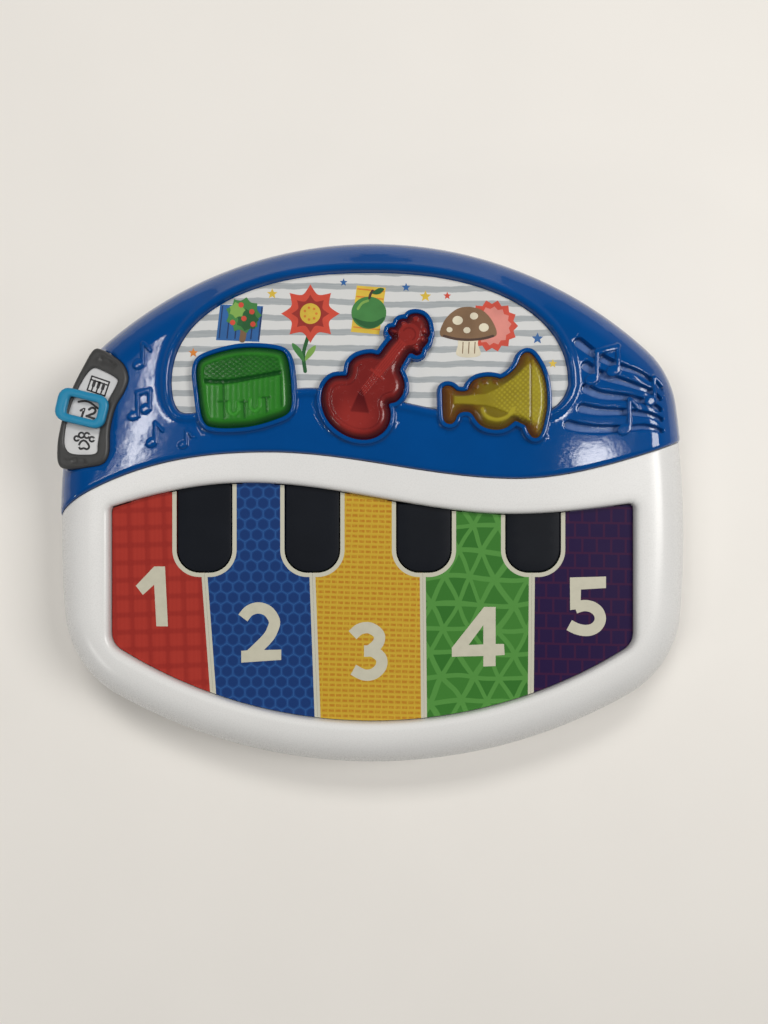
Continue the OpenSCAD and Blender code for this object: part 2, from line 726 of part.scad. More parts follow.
module sound_chip() {
  color([0.1, 0.1, 0.1]) translate([chip_c[0], chip_c[1], main_board_top]) rotate_extrude($fn = 48)
    polygon([[0, 0], [6, 0], [5.2, 1], [3.5, 1.7], [0, 2]]);
}

// Speaker, standing on three posts of the base
speaker_c = shoulder_c + [2.4, 11.0];
speaker_z = 36.5;
flange_h = 1.5;
magnet_r = 10;
magnet_z = 21;
basket_z = 28;
speaker_posts = [for (a = [90, 210, 330]) polar(speaker_c, speaker_r - 2.4, a)];
module round_at_speaker() {
  translate([speaker_c[0], speaker_c[1], 0]) rotate_extrude($fn = 72) children();
}
module speaker_frame() {
  color("silver") round_at_speaker() polygon([[magnet_r - 4, basket_z], [magnet_r, basket_z],
    [speaker_r - 6, speaker_z - 1.5], [speaker_r - 5, speaker_z], [speaker_r, speaker_z],
    [speaker_r, speaker_z + flange_h], [speaker_r - 5.6, speaker_z + flange_h],
    [speaker_r - 7, speaker_z - 0.9],
    [magnet_r - 0.6, basket_z + 1], [magnet_r - 4, basket_z + 1]]);
}
module speaker_cone() {
  color([0.2, 0.2, 0.2]) round_at_speaker() polygon([[0, basket_z + 3], [5, basket_z + 3],
    [speaker_r - 6.2, speaker_z + flange_h], [speaker_r - 1, speaker_z + flange_h],
    [speaker_r - 1, speaker_z + flange_h + 0.5], [speaker_r - 6.5, speaker_z + flange_h + 0.5],
    [4.6, basket_z + 3.6], [0, basket_z + 3.6]]);
}
module speaker_magnet() {
  color("gray") post(speaker_c, magnet_r, magnet_z, basket_z);
}
module speaker_ring() {
  color([0.15, 0.15, 0.15]) round_at_speaker()
    translate([speaker_r - 4, speaker_z + flange_h + 0.5]) square([3, 1]);
}

// Battery well, opened from below
well_c = [0, -42];
door_gap = 0.3;
door_low = 0.4;
door_ledge = well_wall - 1.5;
well_l = cell_l + 2 * contact_room;
well_w = 3 * cell_pitch + 1;
cell_z = wall + 0.3 + cell_r;
well_top = cell_z + cell_r + 0.4;
tongue_r = 6;
tongue_c = well_c + [well_l / 2 + door_ledge + 3, 0];
module well_box(g, z0, z1) {
  plate(z0, z1) translate([well_c[0] - well_l / 2 - g, well_c[1] - well_w / 2 - g])
    square([well_l + 2 * g, well_w + 2 * g]);
}
module door_shape(g, z0, z1) {
  well_box(door_ledge + g, z0, z1);
  post(tongue_c, tongue_r + g, z0, z1);
}
module battery_door() {
  color(white) difference() {
    door_shape(-door_gap, door_low, wall);
    post(tongue_c, screw_head_r + screw_gap, 0, 1.7);
    post(tongue_c, screw_r + screw_gap, 0, wall + 1);
  }
}
door_boss_top = 12;
module screw(p, z0, head_h, z1) {
  post(p, screw_head_r, z0, z0 + head_h);
  post(p, screw_r, z0 + head_h - tiny, z1);
}
module door_screw() {
  color("silver") screw(tongue_c, 0.6, 1.1, door_boss_top - 2);
}
function cell_y(i) = well_c[1] + (i - 1) * cell_pitch;
module battery_cells() {
  color("goldenrod") for (i = [0:2])
    bar_x(well_c[0] - cell_l / 2, well_c[0] + cell_l / 2, cell_y(i), cell_z, cell_r);
}
contact_t = 0.5;
contact_hw = 5.5;
module battery_contacts() {
  x = well_c[0] + well_l / 2;
  color("silver") for (i = [0:2]) {
    for (s = [-1, 1]) {
      translate([s * (x - contact_t / 2), cell_y(i), cell_z])
        cube([contact_t, 2 * contact_hw, 2 * contact_hw], true);
      translate([s * (x - contact_t), cell_y(i), cell_z]) rotate([0, -90 * s, 0])
        cylinder(r = 2.4, h = contact_room - contact_t, $fn = 32);
    }
  }
}

// Off and loudness switch, reached through a slot in the base
switch_c = placed([-60, 72]);
knob_l = 7;
knob_w = 4.4;
knob_low = 0.5;
knob_top = wall + 2;
slot_l = knob_l + 2 * knob_travel + 1;
switch_l = slot_l + 6;
switch_w = knob_w + 5;
switch_h = 6;
module block(c, l, w, z0, z1) {
  plate(z0, z1) translate([c[0] - l / 2, c[1] - w / 2]) square([l, w]);
}
module power_switch() {
  color("dimgray") difference() {
    block(switch_c, switch_l, switch_w, wall, wall + switch_h);
    block(switch_c, slot_l, knob_w + 2 * slider_gap, wall - 1, knob_top + slider_gap);
  }
}
module power_knob() {
  color("dimgray") difference() {
    block(switch_c, knob_l, knob_w, knob_low, knob_top);
    for (i = [-1:1]) block(switch_c + [2 * i, 0], 0.8, knob_w + 1, 0, knob_low + 0.6);
  }
}

// White lower casing
base_edge = 6;
base_rise = 10;
boss_base_r = 5;
counterbore_z = 8;
head_h = 2;
module base_tray() {
  in = white_inset + wall;
  stack(concat(
    [for (i = [0:4]) let (a = 90 * i / 4)
      lift(outline(white_inset + base_edge * (1 - sin(a))), base_rise * (1 - cos(a)))],
    [lift(outline(white_inset), base_h - seam), lift(outline(in), base_h - seam)],
    [lift(outline(in), base_rise), lift(outline(in + base_edge - 1), wall)]
  ));
}
module base_shell() {
  screws = concat(front_screws, back_screws);
  color(white) difference() {
    union() {
      base_tray();
      well_box(well_wall, wall - 1, well_top + 2);
      post(tongue_c, 4.5, wall, door_boss_top);
      for (p = screws) post(p, boss_base_r, wall - 1, base_h - seam);
      for (p = board_posts) post(p, 3.5, wall - 1, main_board_z);
      for (p = key_board_posts) post(p, 3, wall - 1, key_board_z);
      for (p = speaker_posts) post(p, 2.2, wall - 1, speaker_z);
      for (x = post_xs) block([x, hinge_y], post_w, post_d, wall - 1, hinge_z + eye_r - 0.5);
    }
    well_box(0, wall, well_top);
    door_shape(0, -1, wall);
    block(switch_c, slot_l, knob_w + 2 * slider_gap, -1, wall + 1);
    post(tongue_c, screw_r + thread_gap, 0, door_boss_top - 1);
    for (p = screws) {
      post(p, screw_head_r + screw_gap, -1, counterbore_z);
      post(p, screw_r + screw_gap, 0, base_h);
    }
    bar_x(-rod_half - 1, rod_half + 1, hinge_y, hinge_z, rod_r + rod_gap);
  }
}
module case_screws() {
  color("silver") for (p = concat(front_screws, back_screws))
    screw(p, counterbore_z - head_h, head_h, pilot_top - 2);
}

// Leads inside the casing: each a tube along a smooth route
wire_r = 0.8;
wire_sides = 8;
// A lead leaves a board straight down
function drop(p, z) = [for (h = [0, 3, 6]) [p[0], p[1], z - h]];
function back_up(p, z) = [for (h = [6, 3, 0]) [p[0], p[1], z - h]];
function between(list) = [for (p = list) [p[0] * kx, p[1] * ky, p[2]]];
well_side = well_l / 2 + well_wall + 0.05;
magnet_side = speaker_c - [magnet_r, 0];
lead_z = 24.5;
wire_routes = [
  concat([for (h = [0, 3, 6]) [well_side + h, -50, 12]], between([[47, -42, 7], [48, -10, 6], [50, 25, 8]]),
    back_up(placed([50, 45]), main_board_z)),
  concat(drop(placed([58, 52]), main_board_z), between([[66, 49, 22]]),
    [for (h = [6, 3, 0]) [magnet_side[0] - h, magnet_side[1], lead_z]]),
  concat(drop([-60 * kx, key_dome_y + 2], key_board_z),
    between([[-60, -15, 12], [-56, 15, 10], [-50, 40, 14]]), back_up(placed([-50, 45]), main_board_z)),
  concat(drop(mode_c + [-24.4, 0.5], mode_board_z), between([[-98, 40, 23], [-75, 45, 21]]),
    back_up(placed([-58, 46]), main_board_z))
];
function unit(v) = v / norm(v);
function heading(p, i) = unit(p[min(i + 1, len(p) - 1)] - p[max(i - 1, 0)]);
// Each ring is turned to line up with the ring before it
function frame_from(u, t) = unit(u - (u * t) * t);
function frames(p, i, u) =
  i >= len(p) ? [] : let (f = frame_from(u, heading(p, i))) concat([f], frames(p, i + 1, f));
module wire(points) {
  p = route(points, 4);
  start = unit(cross(heading(p, 0), [0.3, 0.9, 0.2]));
  f = frames(p, 0, start);
  stack([for (i = [0:len(p) - 1])
    let (t = heading(p, i), v = cross(t, f[i]))
    [for (k = [0:wire_sides - 1])
      p[i] + wire_r * (f[i] * cos(360 * k / wire_sides) + v * sin(360 * k / wire_sides))]]);
}
module internal_wires() {
  color("firebrick") for (r = wire_routes) wire(r);
}

base_shell();
front_cover();
top_cover();
for (i = [0:4]) {
  key(i);
  key_film(i);
  key_dome(i);
}
black_key_tabs();
key_hinge_rod();
key_board();
picture_panel();
drum_button();
violin_button();
trumpet_button();
drum_dome();
violin_dome();
trumpet_dome();
main_board();
button_lights();
sound_chip();
mode_bezel();
mode_label();
mode_slider();
slider_clip();
mode_board();
speaker_frame();
speaker_cone();
speaker_magnet();
speaker_ring();
battery_door();
door_screw();
battery_cells();
battery_contacts();
power_switch();
power_knob();
case_screws();
internal_wires();
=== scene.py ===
import math
import bpy
import numpy as np
from mathutils.geometry import delaunay_2d_cdt
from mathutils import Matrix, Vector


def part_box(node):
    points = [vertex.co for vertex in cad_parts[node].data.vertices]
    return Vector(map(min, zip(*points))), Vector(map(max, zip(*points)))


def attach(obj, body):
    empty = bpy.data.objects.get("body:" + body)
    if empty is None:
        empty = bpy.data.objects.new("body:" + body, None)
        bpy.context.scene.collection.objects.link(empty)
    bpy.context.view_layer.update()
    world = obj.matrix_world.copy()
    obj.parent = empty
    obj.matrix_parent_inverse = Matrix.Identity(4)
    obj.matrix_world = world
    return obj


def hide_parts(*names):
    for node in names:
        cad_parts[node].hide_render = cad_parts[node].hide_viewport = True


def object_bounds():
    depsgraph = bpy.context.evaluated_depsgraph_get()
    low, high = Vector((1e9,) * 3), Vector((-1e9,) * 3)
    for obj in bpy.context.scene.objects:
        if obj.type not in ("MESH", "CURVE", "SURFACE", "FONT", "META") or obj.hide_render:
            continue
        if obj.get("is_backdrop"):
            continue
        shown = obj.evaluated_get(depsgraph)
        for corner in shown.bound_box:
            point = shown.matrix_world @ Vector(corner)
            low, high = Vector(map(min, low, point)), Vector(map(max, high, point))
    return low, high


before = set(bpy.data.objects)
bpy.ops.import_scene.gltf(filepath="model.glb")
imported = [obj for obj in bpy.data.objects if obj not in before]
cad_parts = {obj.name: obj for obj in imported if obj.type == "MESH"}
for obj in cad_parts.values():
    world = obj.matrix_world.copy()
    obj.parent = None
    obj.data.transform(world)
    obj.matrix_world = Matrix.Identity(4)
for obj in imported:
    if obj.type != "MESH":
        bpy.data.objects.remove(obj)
cadBox = [list(corner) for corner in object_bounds()]
mm = 0.001

# heights in mm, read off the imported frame
def nodeTop(node):
    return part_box(node)[1].z / mm


def nodeLow(node):
    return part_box(node)[0].z / mm


casing = dict(
    width=264, depth=220, parting=16, edgeStart=22, edgeRun=18,
    backArc=171, frontArc=219, sideArc=400, sideY=-14, shoulder=40, corner=45, whiteInset=0.5,
    wave=[(-126, -2, 0.67), (-42, 20.7, 0), (58, 10, 0), (126, 25.2, 0.33)],
)
rimZ = nodeTop("front_cover")
panelZ = nodeLow("picture_panel")
coverZ = panelZ + 2.5


# curves, all in mm
def polar(c, r, a):
    return np.stack([c[0] + r * np.cos(a), c[1] + r * np.sin(a)], axis=-1)


def arcPoints(c, r, a0, a1, n):
    return polar(c, r, np.linspace(a0, a1, n + 1))


def bearing(a, b):
    return math.atan2(b[1] - a[1], b[0] - a[0])


def crossing(a, ra, b, rb, side):
    a, b = np.array(a, float), np.array(b, float)
    d = np.linalg.norm(b - a)
    u = (b - a) / d
    t = (ra * ra - rb * rb + d * d) / (2 * d)
    return a + t * u + side * math.sqrt(ra * ra - t * t) * np.array([u[1], -u[0]])


def casingOutline(inset, density=1.0):
    c = casing
    back = (0, c["depth"] / 2 - c["backArc"])
    front = (0, c["frontArc"] - c["depth"] / 2)
    side = (c["width"] / 2 - c["sideArc"], c["sideY"])
    shoulder = crossing(back, c["backArc"] - c["shoulder"], side, c["sideArc"] - c["shoulder"], 1)
    corner = crossing(front, c["frontArc"] - c["corner"], side, c["sideArc"] - c["corner"], -1)
    turns = [math.pi / 2, bearing(back, shoulder), bearing(side, shoulder), bearing(side, corner),
             bearing(front, corner), -math.pi / 2]
    arcs = zip([back, shoulder, side, corner, front],
               ["backArc", "shoulder", "sideArc", "corner", "frontArc"],
               turns[:-1], turns[1:], [44, 16, 32, 20, 44])
    half = np.concatenate([arcPoints(m, c[r] - inset, a0, a1, int(n * density))[:-1]
                           for m, r, a0, a1, n in arcs]
                          + [np.array([[0, inset - c["depth"] / 2]])])
    return np.concatenate([half[::-1], half[1:-1] * [-1, 1]])


def through(knots, x):
    x = np.asarray(x, float)
    k = np.array(knots, float)
    i = np.clip(np.searchsorted(k[:, 0], x) - 1, 0, len(k) - 2)
    a, b = k[i], k[i + 1]
    w = b[..., 0] - a[..., 0]
    t = np.clip((x - a[..., 0]) / w, 0, 1)
    y = ((1 - 3 * t**2 + 2 * t**3) * a[..., 1] + (t - 2 * t**2 + t**3) * w * a[..., 2]
         + (3 * t**2 - 2 * t**3) * b[..., 1] + (t**3 - t**2) * w * b[..., 2])
    beyond = np.minimum(x - k[0, 0], 0) * k[0, 2] + np.maximum(x - k[-1, 0], 0) * k[-1, 2]
    return y + beyond


def catmull(a, b, c, d, t):
    return 0.5 * (2 * b + (c - a) * t + (2 * a - 5 * b + 4 * c - d) * t**2 + (3 * b - a - 3 * c + d) * t**3)


def smoothLoop(points, steps=6):
    p = np.array(points, float)
    n = len(p)
    return np.array([catmull(p[i - 1], p[i], p[(i + 1) % n], p[(i + 2) % n], s / steps)
                     for i in range(n) for s in range(steps)])


def smoothRoute(points, steps=6):
    p = np.array(points, float)
    n = len(p)
    run = [catmull(p[max(i - 1, 0)], p[i], p[i + 1], p[min(i + 2, n - 1)], s / steps)
           for i in range(n - 1) for s in range(steps)]
    return np.array(run + [p[-1]])


def respace(loop, step, closed=True):
    p = np.vstack([loop, loop[:1]]) if closed else np.asarray(loop)
    run = np.concatenate([[0], np.cumsum(np.linalg.norm(np.diff(p, axis=0), axis=1))])
    n = max(int(round(run[-1] / step)), 3)
    at = np.linspace(0, run[-1], n + 1)
    out = np.stack([np.interp(at, run, p[:, k]) for k in range(p.shape[1])], axis=1)
    return out[:-1] if closed else out


def distanceTo(points, line, closed=True):
    a = np.asarray(line, float)
    b = np.roll(a, -1, axis=0) if closed else a[1:]
    a = a if closed else a[:-1]
    ab = b - a
    length2 = np.maximum((ab**2).sum(1), 1e-12)
    out = np.empty(len(points))
    for s in range(0, len(points), 4000):
        p = points[s:s + 4000, None, :]
        t = np.clip(((p - a) * ab).sum(2) / length2, 0, 1)
        out[s:s + 4000] = np.sqrt((((p - a) - t[..., None] * ab)**2).sum(2).min(1))
    return out


def ovalLoop(x, y, rx, ry, turn=0.0, n=40):
    a = np.linspace(0, 2 * math.pi, n, endpoint=False)
    u, v = rx * np.cos(a), ry * np.sin(a)
    c, s = math.cos(turn), math.sin(turn)
    return np.stack([x + u * c - v * s, y + u * s + v * c], axis=1)


def inside(points, loop):
    x, y = points[:, 0], points[:, 1]
    hit = np.zeros(len(points), bool)
    for (x0, y0), (x1, y1) in zip(loop, np.roll(loop, -1, axis=0)):
        if y0 != y1:
            cross = ((y0 > y) != (y1 > y)) & (x < (x1 - x0) * (y - y0) / (y1 - y0) + x0)
            hit ^= cross
    return hit


def signedDistance(points, loop):
    d = distanceTo(points, loop)
    return np.where(inside(points, loop), -d, d)


def turning(loop):
    x, y = loop[:, 0], loop[:, 1]
    return np.sum(x * np.roll(y, -1) - np.roll(x, -1) * y)


def offsetLoop(loop, d):
    p = loop if turning(loop) > 0 else loop[::-1]
    t = np.roll(p, -1, axis=0) - np.roll(p, 1, axis=0)
    t /= np.maximum(np.linalg.norm(t, axis=1, keepdims=True), 1e-9)
    moved = p + d * np.stack([t[:, 1], -t[:, 0]], axis=1)
    clear = distanceTo(moved, p) > abs(d) * 0.97 - 1e-6
    return moved[clear]


def ribbonLoop(route, widths):
    r = np.asarray(route, float)
    t = np.gradient(r, axis=0)
    t /= np.linalg.norm(t, axis=1, keepdims=True)
    n = np.stack([-t[:, 1], t[:, 0]], axis=1)
    w = np.broadcast_to(np.asarray(widths, float) / 2, (len(r),))[:, None]
    def cap(i, start):
        a = np.linspace(start, start + math.pi, 9)[1:-1, None]
        return r[i] + w[i] * (np.cos(a) * n[i] + np.sin(a) * t[i])
    return np.concatenate([r + n * w, cap(-1, 0), (r - n * w)[::-1], cap(0, math.pi)])[::-1]


# meshes
def newObject(name, verts, faces, body, nodes=(), smooth=True):
    mesh = bpy.data.meshes.new(name)
    mesh.from_pydata((np.asarray(verts) * mm).tolist(), [], faces)
    mesh.update()
    obj = bpy.data.objects.new(name, mesh)
    bpy.context.scene.collection.objects.link(obj)
    mesh.polygons.foreach_set("use_smooth", [smooth] * len(mesh.polygons))
    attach(obj, body)
    if nodes:
        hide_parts(*nodes)
    return obj


def hexGrid(lo, hi, step):
    gx, gy = np.meshgrid(np.arange(lo[0], hi[0], step), np.arange(lo[1], hi[1], step * 0.866))
    gx[1::2] += step / 2
    return np.stack([gx.ravel(), gy.ravel()], axis=1)


def triangles(boundary, holes=(), guides=(), openGuides=(), step=1.5, fine=()):
    loops = [boundary, *holes, *guides]
    points, edges = [], []
    for line, closed in [(l, True) for l in loops] + [(l, False) for l in openGuides]:
        n, base = len(line), len(points)
        if n < 3:
            continue
        points += [tuple(p) for p in line]
        edges += [(base + i, base + (i + 1) % n) for i in range(n if closed else n - 1)]
    known = np.array(points)

    def clearOf(grid, cell):
        taken = {(int(x // cell), int(y // cell)) for x, y in known}
        near = [any((i + u, j + v) in taken for u in (-1, 0, 1) for v in (-1, 0, 1))
                for i, j in (grid // cell).astype(int)]
        return grid[~np.array(near)]
    grid = hexGrid(boundary.min(0), boundary.max(0), step)
    patches = []
    for lo, hi, s in fine:
        grid = grid[~((grid > lo) & (grid < hi)).all(1)]
        patches.append(clearOf(hexGrid(lo, hi, s), s * 0.5))
    grid = np.concatenate([clearOf(grid, step * 0.55), *patches])
    grid = grid[inside(grid, boundary)]
    for hole in holes:
        grid = grid[~inside(grid, hole)]
    points += [tuple(p) for p in grid]
    verts, _, faces, *_ = delaunay_2d_cdt(points, edges, [], 0, 1e-5, False)
    verts = np.array([tuple(v) for v in verts])
    faces = np.array(faces)
    mid = verts[faces].mean(1)
    keep = inside(mid, boundary)
    for hole in holes:
        keep &= ~inside(mid, hole)
    a, b, c = (verts[faces[:, k]] for k in range(3))
    area = (b[:, 0] - a[:, 0]) * (c[:, 1] - a[:, 1]) - (b[:, 1] - a[:, 1]) * (c[:, 0] - a[:, 0])
    keep &= np.abs(area) > 1e-9
    faces[area < 0] = faces[area < 0][:, ::-1]
    faces = faces[keep]
    used = np.unique(faces)
    back = np.full(len(verts), -1)
    back[used] = np.arange(len(used))
    return verts[used], back[faces]


def openEdges(faces):
    ways = {}
    for f in faces:
        for i, j in ((f[0], f[1]), (f[1], f[2]), (f[2], f[0])):
            ways[(i, j)] = True
    return [(i, j) for i, j in ways if (j, i) not in ways]


# a moulded skin: heights over a plan, with its open edges run down to a lower height
def skin(flat, faces, z, lowZ):
    verts = np.column_stack([flat, z])
    faces = [tuple(int(i) for i in f) for f in faces]
    rim = openEdges(faces)
    ends = sorted({i for e in rim for i in e})
    below = {v: len(verts) + k for k, v in enumerate(ends)}
    verts = np.vstack([verts, np.column_stack([flat[ends], lowZ(flat[ends], verts[ends, 2])])])
    return verts, faces + [(i, below[i], below[j], j) for i, j in rim]


# a value per point of the skin, with one fill for the points below it
def mark(obj, name, values, fill=0.0):
    layer = obj.data.attributes.new(name, "FLOAT", "POINT")
    below = np.full(len(obj.data.vertices) - len(values), fill)
    layer.data.foreach_set("value", np.concatenate([values, below]))


def softStep(v, low, high):
    t = np.clip((v - low) / (high - low), 0, 1)
    return t * t * (3 - 2 * t)


def ridge(d, halfWidth, soft):
    return 1 - softStep(d, halfWidth - soft / 2, halfWidth + soft / 2)


def profile(d, table):
    xs, ys = zip(*table)
    return np.interp(d, xs, ys)


def roundOver(d, r):
    s = np.clip(1 - d / r, 0, 1)
    return r * (np.sqrt(1 - s * s) - 1)


def domeHeight(depth, top, inset=0.0):
    s = np.clip(1 - depth / (casing["edgeRun"] - inset), 0, 1)
    return casing["edgeStart"] + (top - casing["edgeStart"]) * np.sqrt(1 - s * s)


def domeRings(inset):
    run = casing["edgeRun"] - inset
    return [casingOutline(inset + run * (1 - math.cos(math.radians(a))))
            for a in (8, 16, 24, 33, 42, 52, 62, 72, 81, 90)]


def waveAt(x):
    return through(casing["wave"], x)


def waveLine(shift=0.0):
    x = np.linspace(-136, 136, 200)
    return np.stack([x, waveAt(x) + shift], axis=1)


# shading: a socket that takes sums
class Value:
    def __init__(self, mat, socket):
        self.mat, self.socket = mat, socket

    def op(self, kind, other=0.0, third=0.0, flip=False):
        a, b = (other, self) if flip else (self, other)
        return self.mat.node("ShaderNodeMath", dict(operation=kind), [a, b, third])

    def __add__(self, o):
        return self.op("ADD", o)

    def __radd__(self, o):
        return self.op("ADD", o)

    def __sub__(self, o):
        return self.op("SUBTRACT", o)

    def __rsub__(self, o):
        return self.op("SUBTRACT", o, flip=True)

    def __mul__(self, o):
        return self.op("MULTIPLY", o)

    def __rmul__(self, o):
        return self.op("MULTIPLY", o)

    def __truediv__(self, o):
        return self.op("DIVIDE", o)

    def __rtruediv__(self, o):
        return self.op("DIVIDE", o, flip=True)

    def __lt__(self, o):
        return self.op("LESS_THAN", o)

    def floor(self):
        return self.op("FLOOR")

    def fract(self):
        return self.op("FRACT")

    def abs(self):
        return self.op("ABSOLUTE")

    def sin(self):
        return self.op("SINE")

    def sqrt(self):
        return self.op("SQRT")

    def min(self, o):
        return self.op("MINIMUM", o)

    def max(self, o):
        return self.op("MAXIMUM", o)

    def step(self, low, high):  # 0 below low, 1 above high, soft between
        return self.mat.node("ShaderNodeMapRange", dict(interpolation_type="SMOOTHSTEP"),
                             dict(Value=self, **{"From Min": low, "From Max": high}))


class Nodes:
    def __init__(self, tree):
        self.tree = tree

    def node(self, kind, settings=None, inputs=(), out=0):
        n = self.tree.nodes.new(kind)
        for key, value in (settings or {}).items():
            setattr(n, key, value)
        pairs = inputs.items() if isinstance(inputs, dict) else enumerate(inputs)
        for key, value in pairs:
            self.feed(n.inputs[key], value)
        return Value(self, n.outputs[out])

    def feed(self, socket, value):
        if isinstance(value, Value):
            self.tree.links.new(value.socket, socket)
        else:
            socket.default_value = value

    def parts(self, vector):
        split = self.node("ShaderNodeSeparateXYZ", {}, [vector]).socket.node
        return [Value(self, s) for s in split.outputs]

    def mix(self, factor, a, b):
        return self.node("ShaderNodeMix", dict(data_type="RGBA"), {0: factor, 6: a, 7: b}, out=2)


class Finish(Nodes):
    def __init__(self, name, **settings):
        self.material = bpy.data.materials.new(name)
        self.material.use_nodes = True
        super().__init__(self.material.node_tree)
        self.shader = self.tree.nodes["Principled BSDF"]
        self.set(**settings)

    def set(self, **settings):
        for key, value in settings.items():
            self.feed(self.shader.inputs[key.replace("_", " ")], value)

    def place(self):  # x, y, z in mm
        return [v * 1000 for v in self.parts(self.node("ShaderNodeTexCoord", out=3))]

    def noise(self, scale, detail=3.0, roughness=0.5):
        where = self.node("ShaderNodeTexCoord", out=3)
        return self.node("ShaderNodeTexNoise", {},
                         dict(Vector=where, Scale=scale, Detail=detail, Roughness=roughness))

    def bump(self, height, strength, distance=0.0002):
        return self.node("ShaderNodeBump", {}, dict(Strength=strength, Distance=distance, Height=height))

    def attribute(self, name):
        return self.node("ShaderNodeAttribute", dict(attribute_name=name), out=2)


def srgb(r, g, b):
    def lin(v):
        v /= 255
        return v / 12.92 if v <= 0.04045 else ((v + 0.055) / 1.055)**2.4
    return (lin(r), lin(g), lin(b), 1.0)


def shade(colour, k):
    return tuple(c * k for c in colour[:3]) + (1.0,)


def dress(obj, finish):
    obj.data.materials.clear()
    obj.data.materials.append(finish.material)


# moulded plastic: faint mottling, a fine skin texture and handling scuffs
def mouldedPlastic(name, colour, rough=0.3, coat=0.0, mottle=0.06, skinDepth=0.06, scuffs=0.12, gloss=0.5):
    f = Finish(name, Coat_Weight=coat, Coat_Roughness=0.08, Specular_IOR_Level=gloss)
    cloud = f.noise(38, 4)
    fine = f.noise(2600, 2)
    scuff = f.noise(420, 5, 0.7).step(0.62, 0.74)
    f.set(Base_Color=f.mix(cloud.step(0.3, 0.7), shade(colour, 1 - mottle), shade(colour, 1 + mottle)),
          Roughness=rough + scuff * scuffs + fine * 0.03,
          Normal=f.bump(fine, skinDepth))
    return f


def bluePlastic():
    f = mouldedPlastic("bluePlastic", srgb(2, 66, 130), rough=0.06, mottle=0.05, scuffs=0.05, gloss=0.45)
    base = f.shader.inputs["Base Color"].links[0].from_socket
    dusty = f.attribute("grooveFloor") * (0.2 + f.noise(300, 4) * 0.45)
    f.set(Base_Color=f.mix(dusty, Value(f, base), srgb(120, 142, 184)),
          Normal=f.bump(f.noise(230, 2) + f.noise(60, 2) * 2 + f.noise(2600, 2) * 0.02, 0.13))
    return f


blueFinish = bluePlastic()
whiteFinish = mouldedPlastic("whitePlastic", srgb(214, 214, 213), rough=0.26, mottle=0.012, skinDepth=0.05,
                             scuffs=0.08)
print("finishes ready")

# blue cover: one skin with the panel pocket and its bead, button rims, grille and raised notes
blueCover = dict(
    seamRound=1.5, waveWall=3, rimGap=0.35,
    buttonRim=[(0.35, 47.0), (0.55, 47.35), (0.8, 47.5), (1.25, 47.5), (1.7, 47.5), (1.95, 47.35),
               (2.15, 47.0), (2.4, 43.0)],
    fine=[((-102, 20), (-72, 68), 0.5), ((77, 26), (121, 70), 0.5), ((5, 33), (16, 50), 0.5),
          ((62, 28), (80, 46), 0.5), ((-38, 34), (-26, 52), 0.5), ((-82, 34), (-66, 46), 0.5),
          ((-24, 42), (-8, 56), 0.5), ((23, 32), (34, 50), 0.5)],
    bead=[(0.2, 0), (0.35, 2.1), (0.7, 2.9), (1.3, 3.4), (2.1, 3.55), (2.9, 3.4), (3.6, 3.0), (4.6, 2.6)],
    beadBlend=(2.6, 6.6), noteRise=1.0, groove=2.5, groovePlan=(4.3, 2.0), holeFoot=40.6,
)
panel = dict(
    middle=(-1, 47.5), halfWidth=80, rise=45.3, power=2.25,
    front=[(-78, 35.5, 0.12), (-25, 46.5, 0), (48, 35.5, 0), (78, 38.5, 0.2)],
    leftCorner=[(-80.2, 41.5), (-77.6, 36.9)], rightCorner=[(74.5, 39.6), (77.6, 43.5)],
)


def panelOutline():
    a = np.linspace(0, math.pi, 97)
    oval = lambda v: np.sign(v) * np.abs(v)**(2 / panel["power"])
    arch = np.stack([panel["middle"][0] + panel["halfWidth"] * oval(np.cos(a)),
                     panel["middle"][1] + panel["rise"] * oval(np.sin(a))], axis=1)
    x = np.arange(-73, 72, 1.5)
    front = np.stack([x, through(panel["front"], x)], axis=1)
    corner = lambda before, points, after: smoothRoute([before, *points, after], 8)[1:-1]
    left = corner(arch[-1], panel["leftCorner"], front[0])
    right = corner(front[-1], panel["rightCorner"], arch[0])
    return respace(np.concatenate([arch, left, front, right]), 1.2)


panelLoop = panelOutline()
drumLoop = respace(smoothLoop([
    (-69.8, 54), (-66, 58.2), (-52.5, 61.6), (-38.5, 61), (-34.2, 57.5), (-32.6, 45), (-33.2, 37),
    (-39, 33.6), (-50, 30.7), (-62.5, 30.4), (-67.3, 33.2), (-69.2, 44)]), 0.8)
violinLoop = respace(smoothLoop([
    (15.1, 74.9), (17.7, 75.4), (20.3, 74.5), (21.9, 72.3), (22.5, 69.7), (22.7, 67.3), (21.8, 66.1),
    (22, 64.7), (21, 63.2), (19.8, 61.8), (19.3, 60), (17.7, 59.2), (15.9, 60.1), (14.7, 59.9),
    (13.4, 58.2), (12, 55.8), (10.9, 53.7), (10.9, 52.3), (12, 49.8), (12.6, 46.6), (11.7, 43.4),
    (9.5, 40.8), (7.4, 40.2), (6.2, 39.4), (6.8, 37.2), (7, 35.1), (6.4, 31.8), (4.5, 28.8), (1.4, 26.6),
    (-2.5, 25.6), (-6.9, 26), (-11, 27.5), (-14.8, 30.1), (-17.8, 33.5), (-19.5, 37.3), (-20.1, 41.2),
    (-19.6, 45.1), (-17.9, 48.3), (-15.4, 50.1), (-12.2, 50.5), (-10.2, 50.6), (-9.4, 52.7), (-8.9, 55.4),
    (-6.9, 57.7), (-3.8, 59), (-0.4, 59.4), (2.3, 58.8), (3.4, 59.6), (5.1, 62), (6.9, 64.3), (8.6, 66.1),
    (7.5, 66.9), (6.6, 68.5), (7.3, 69.8), (9, 69.8), (9.9, 71), (10.7, 72.7), (12.4, 73.3),
    (13.9, 73.1)], 4), 0.6)
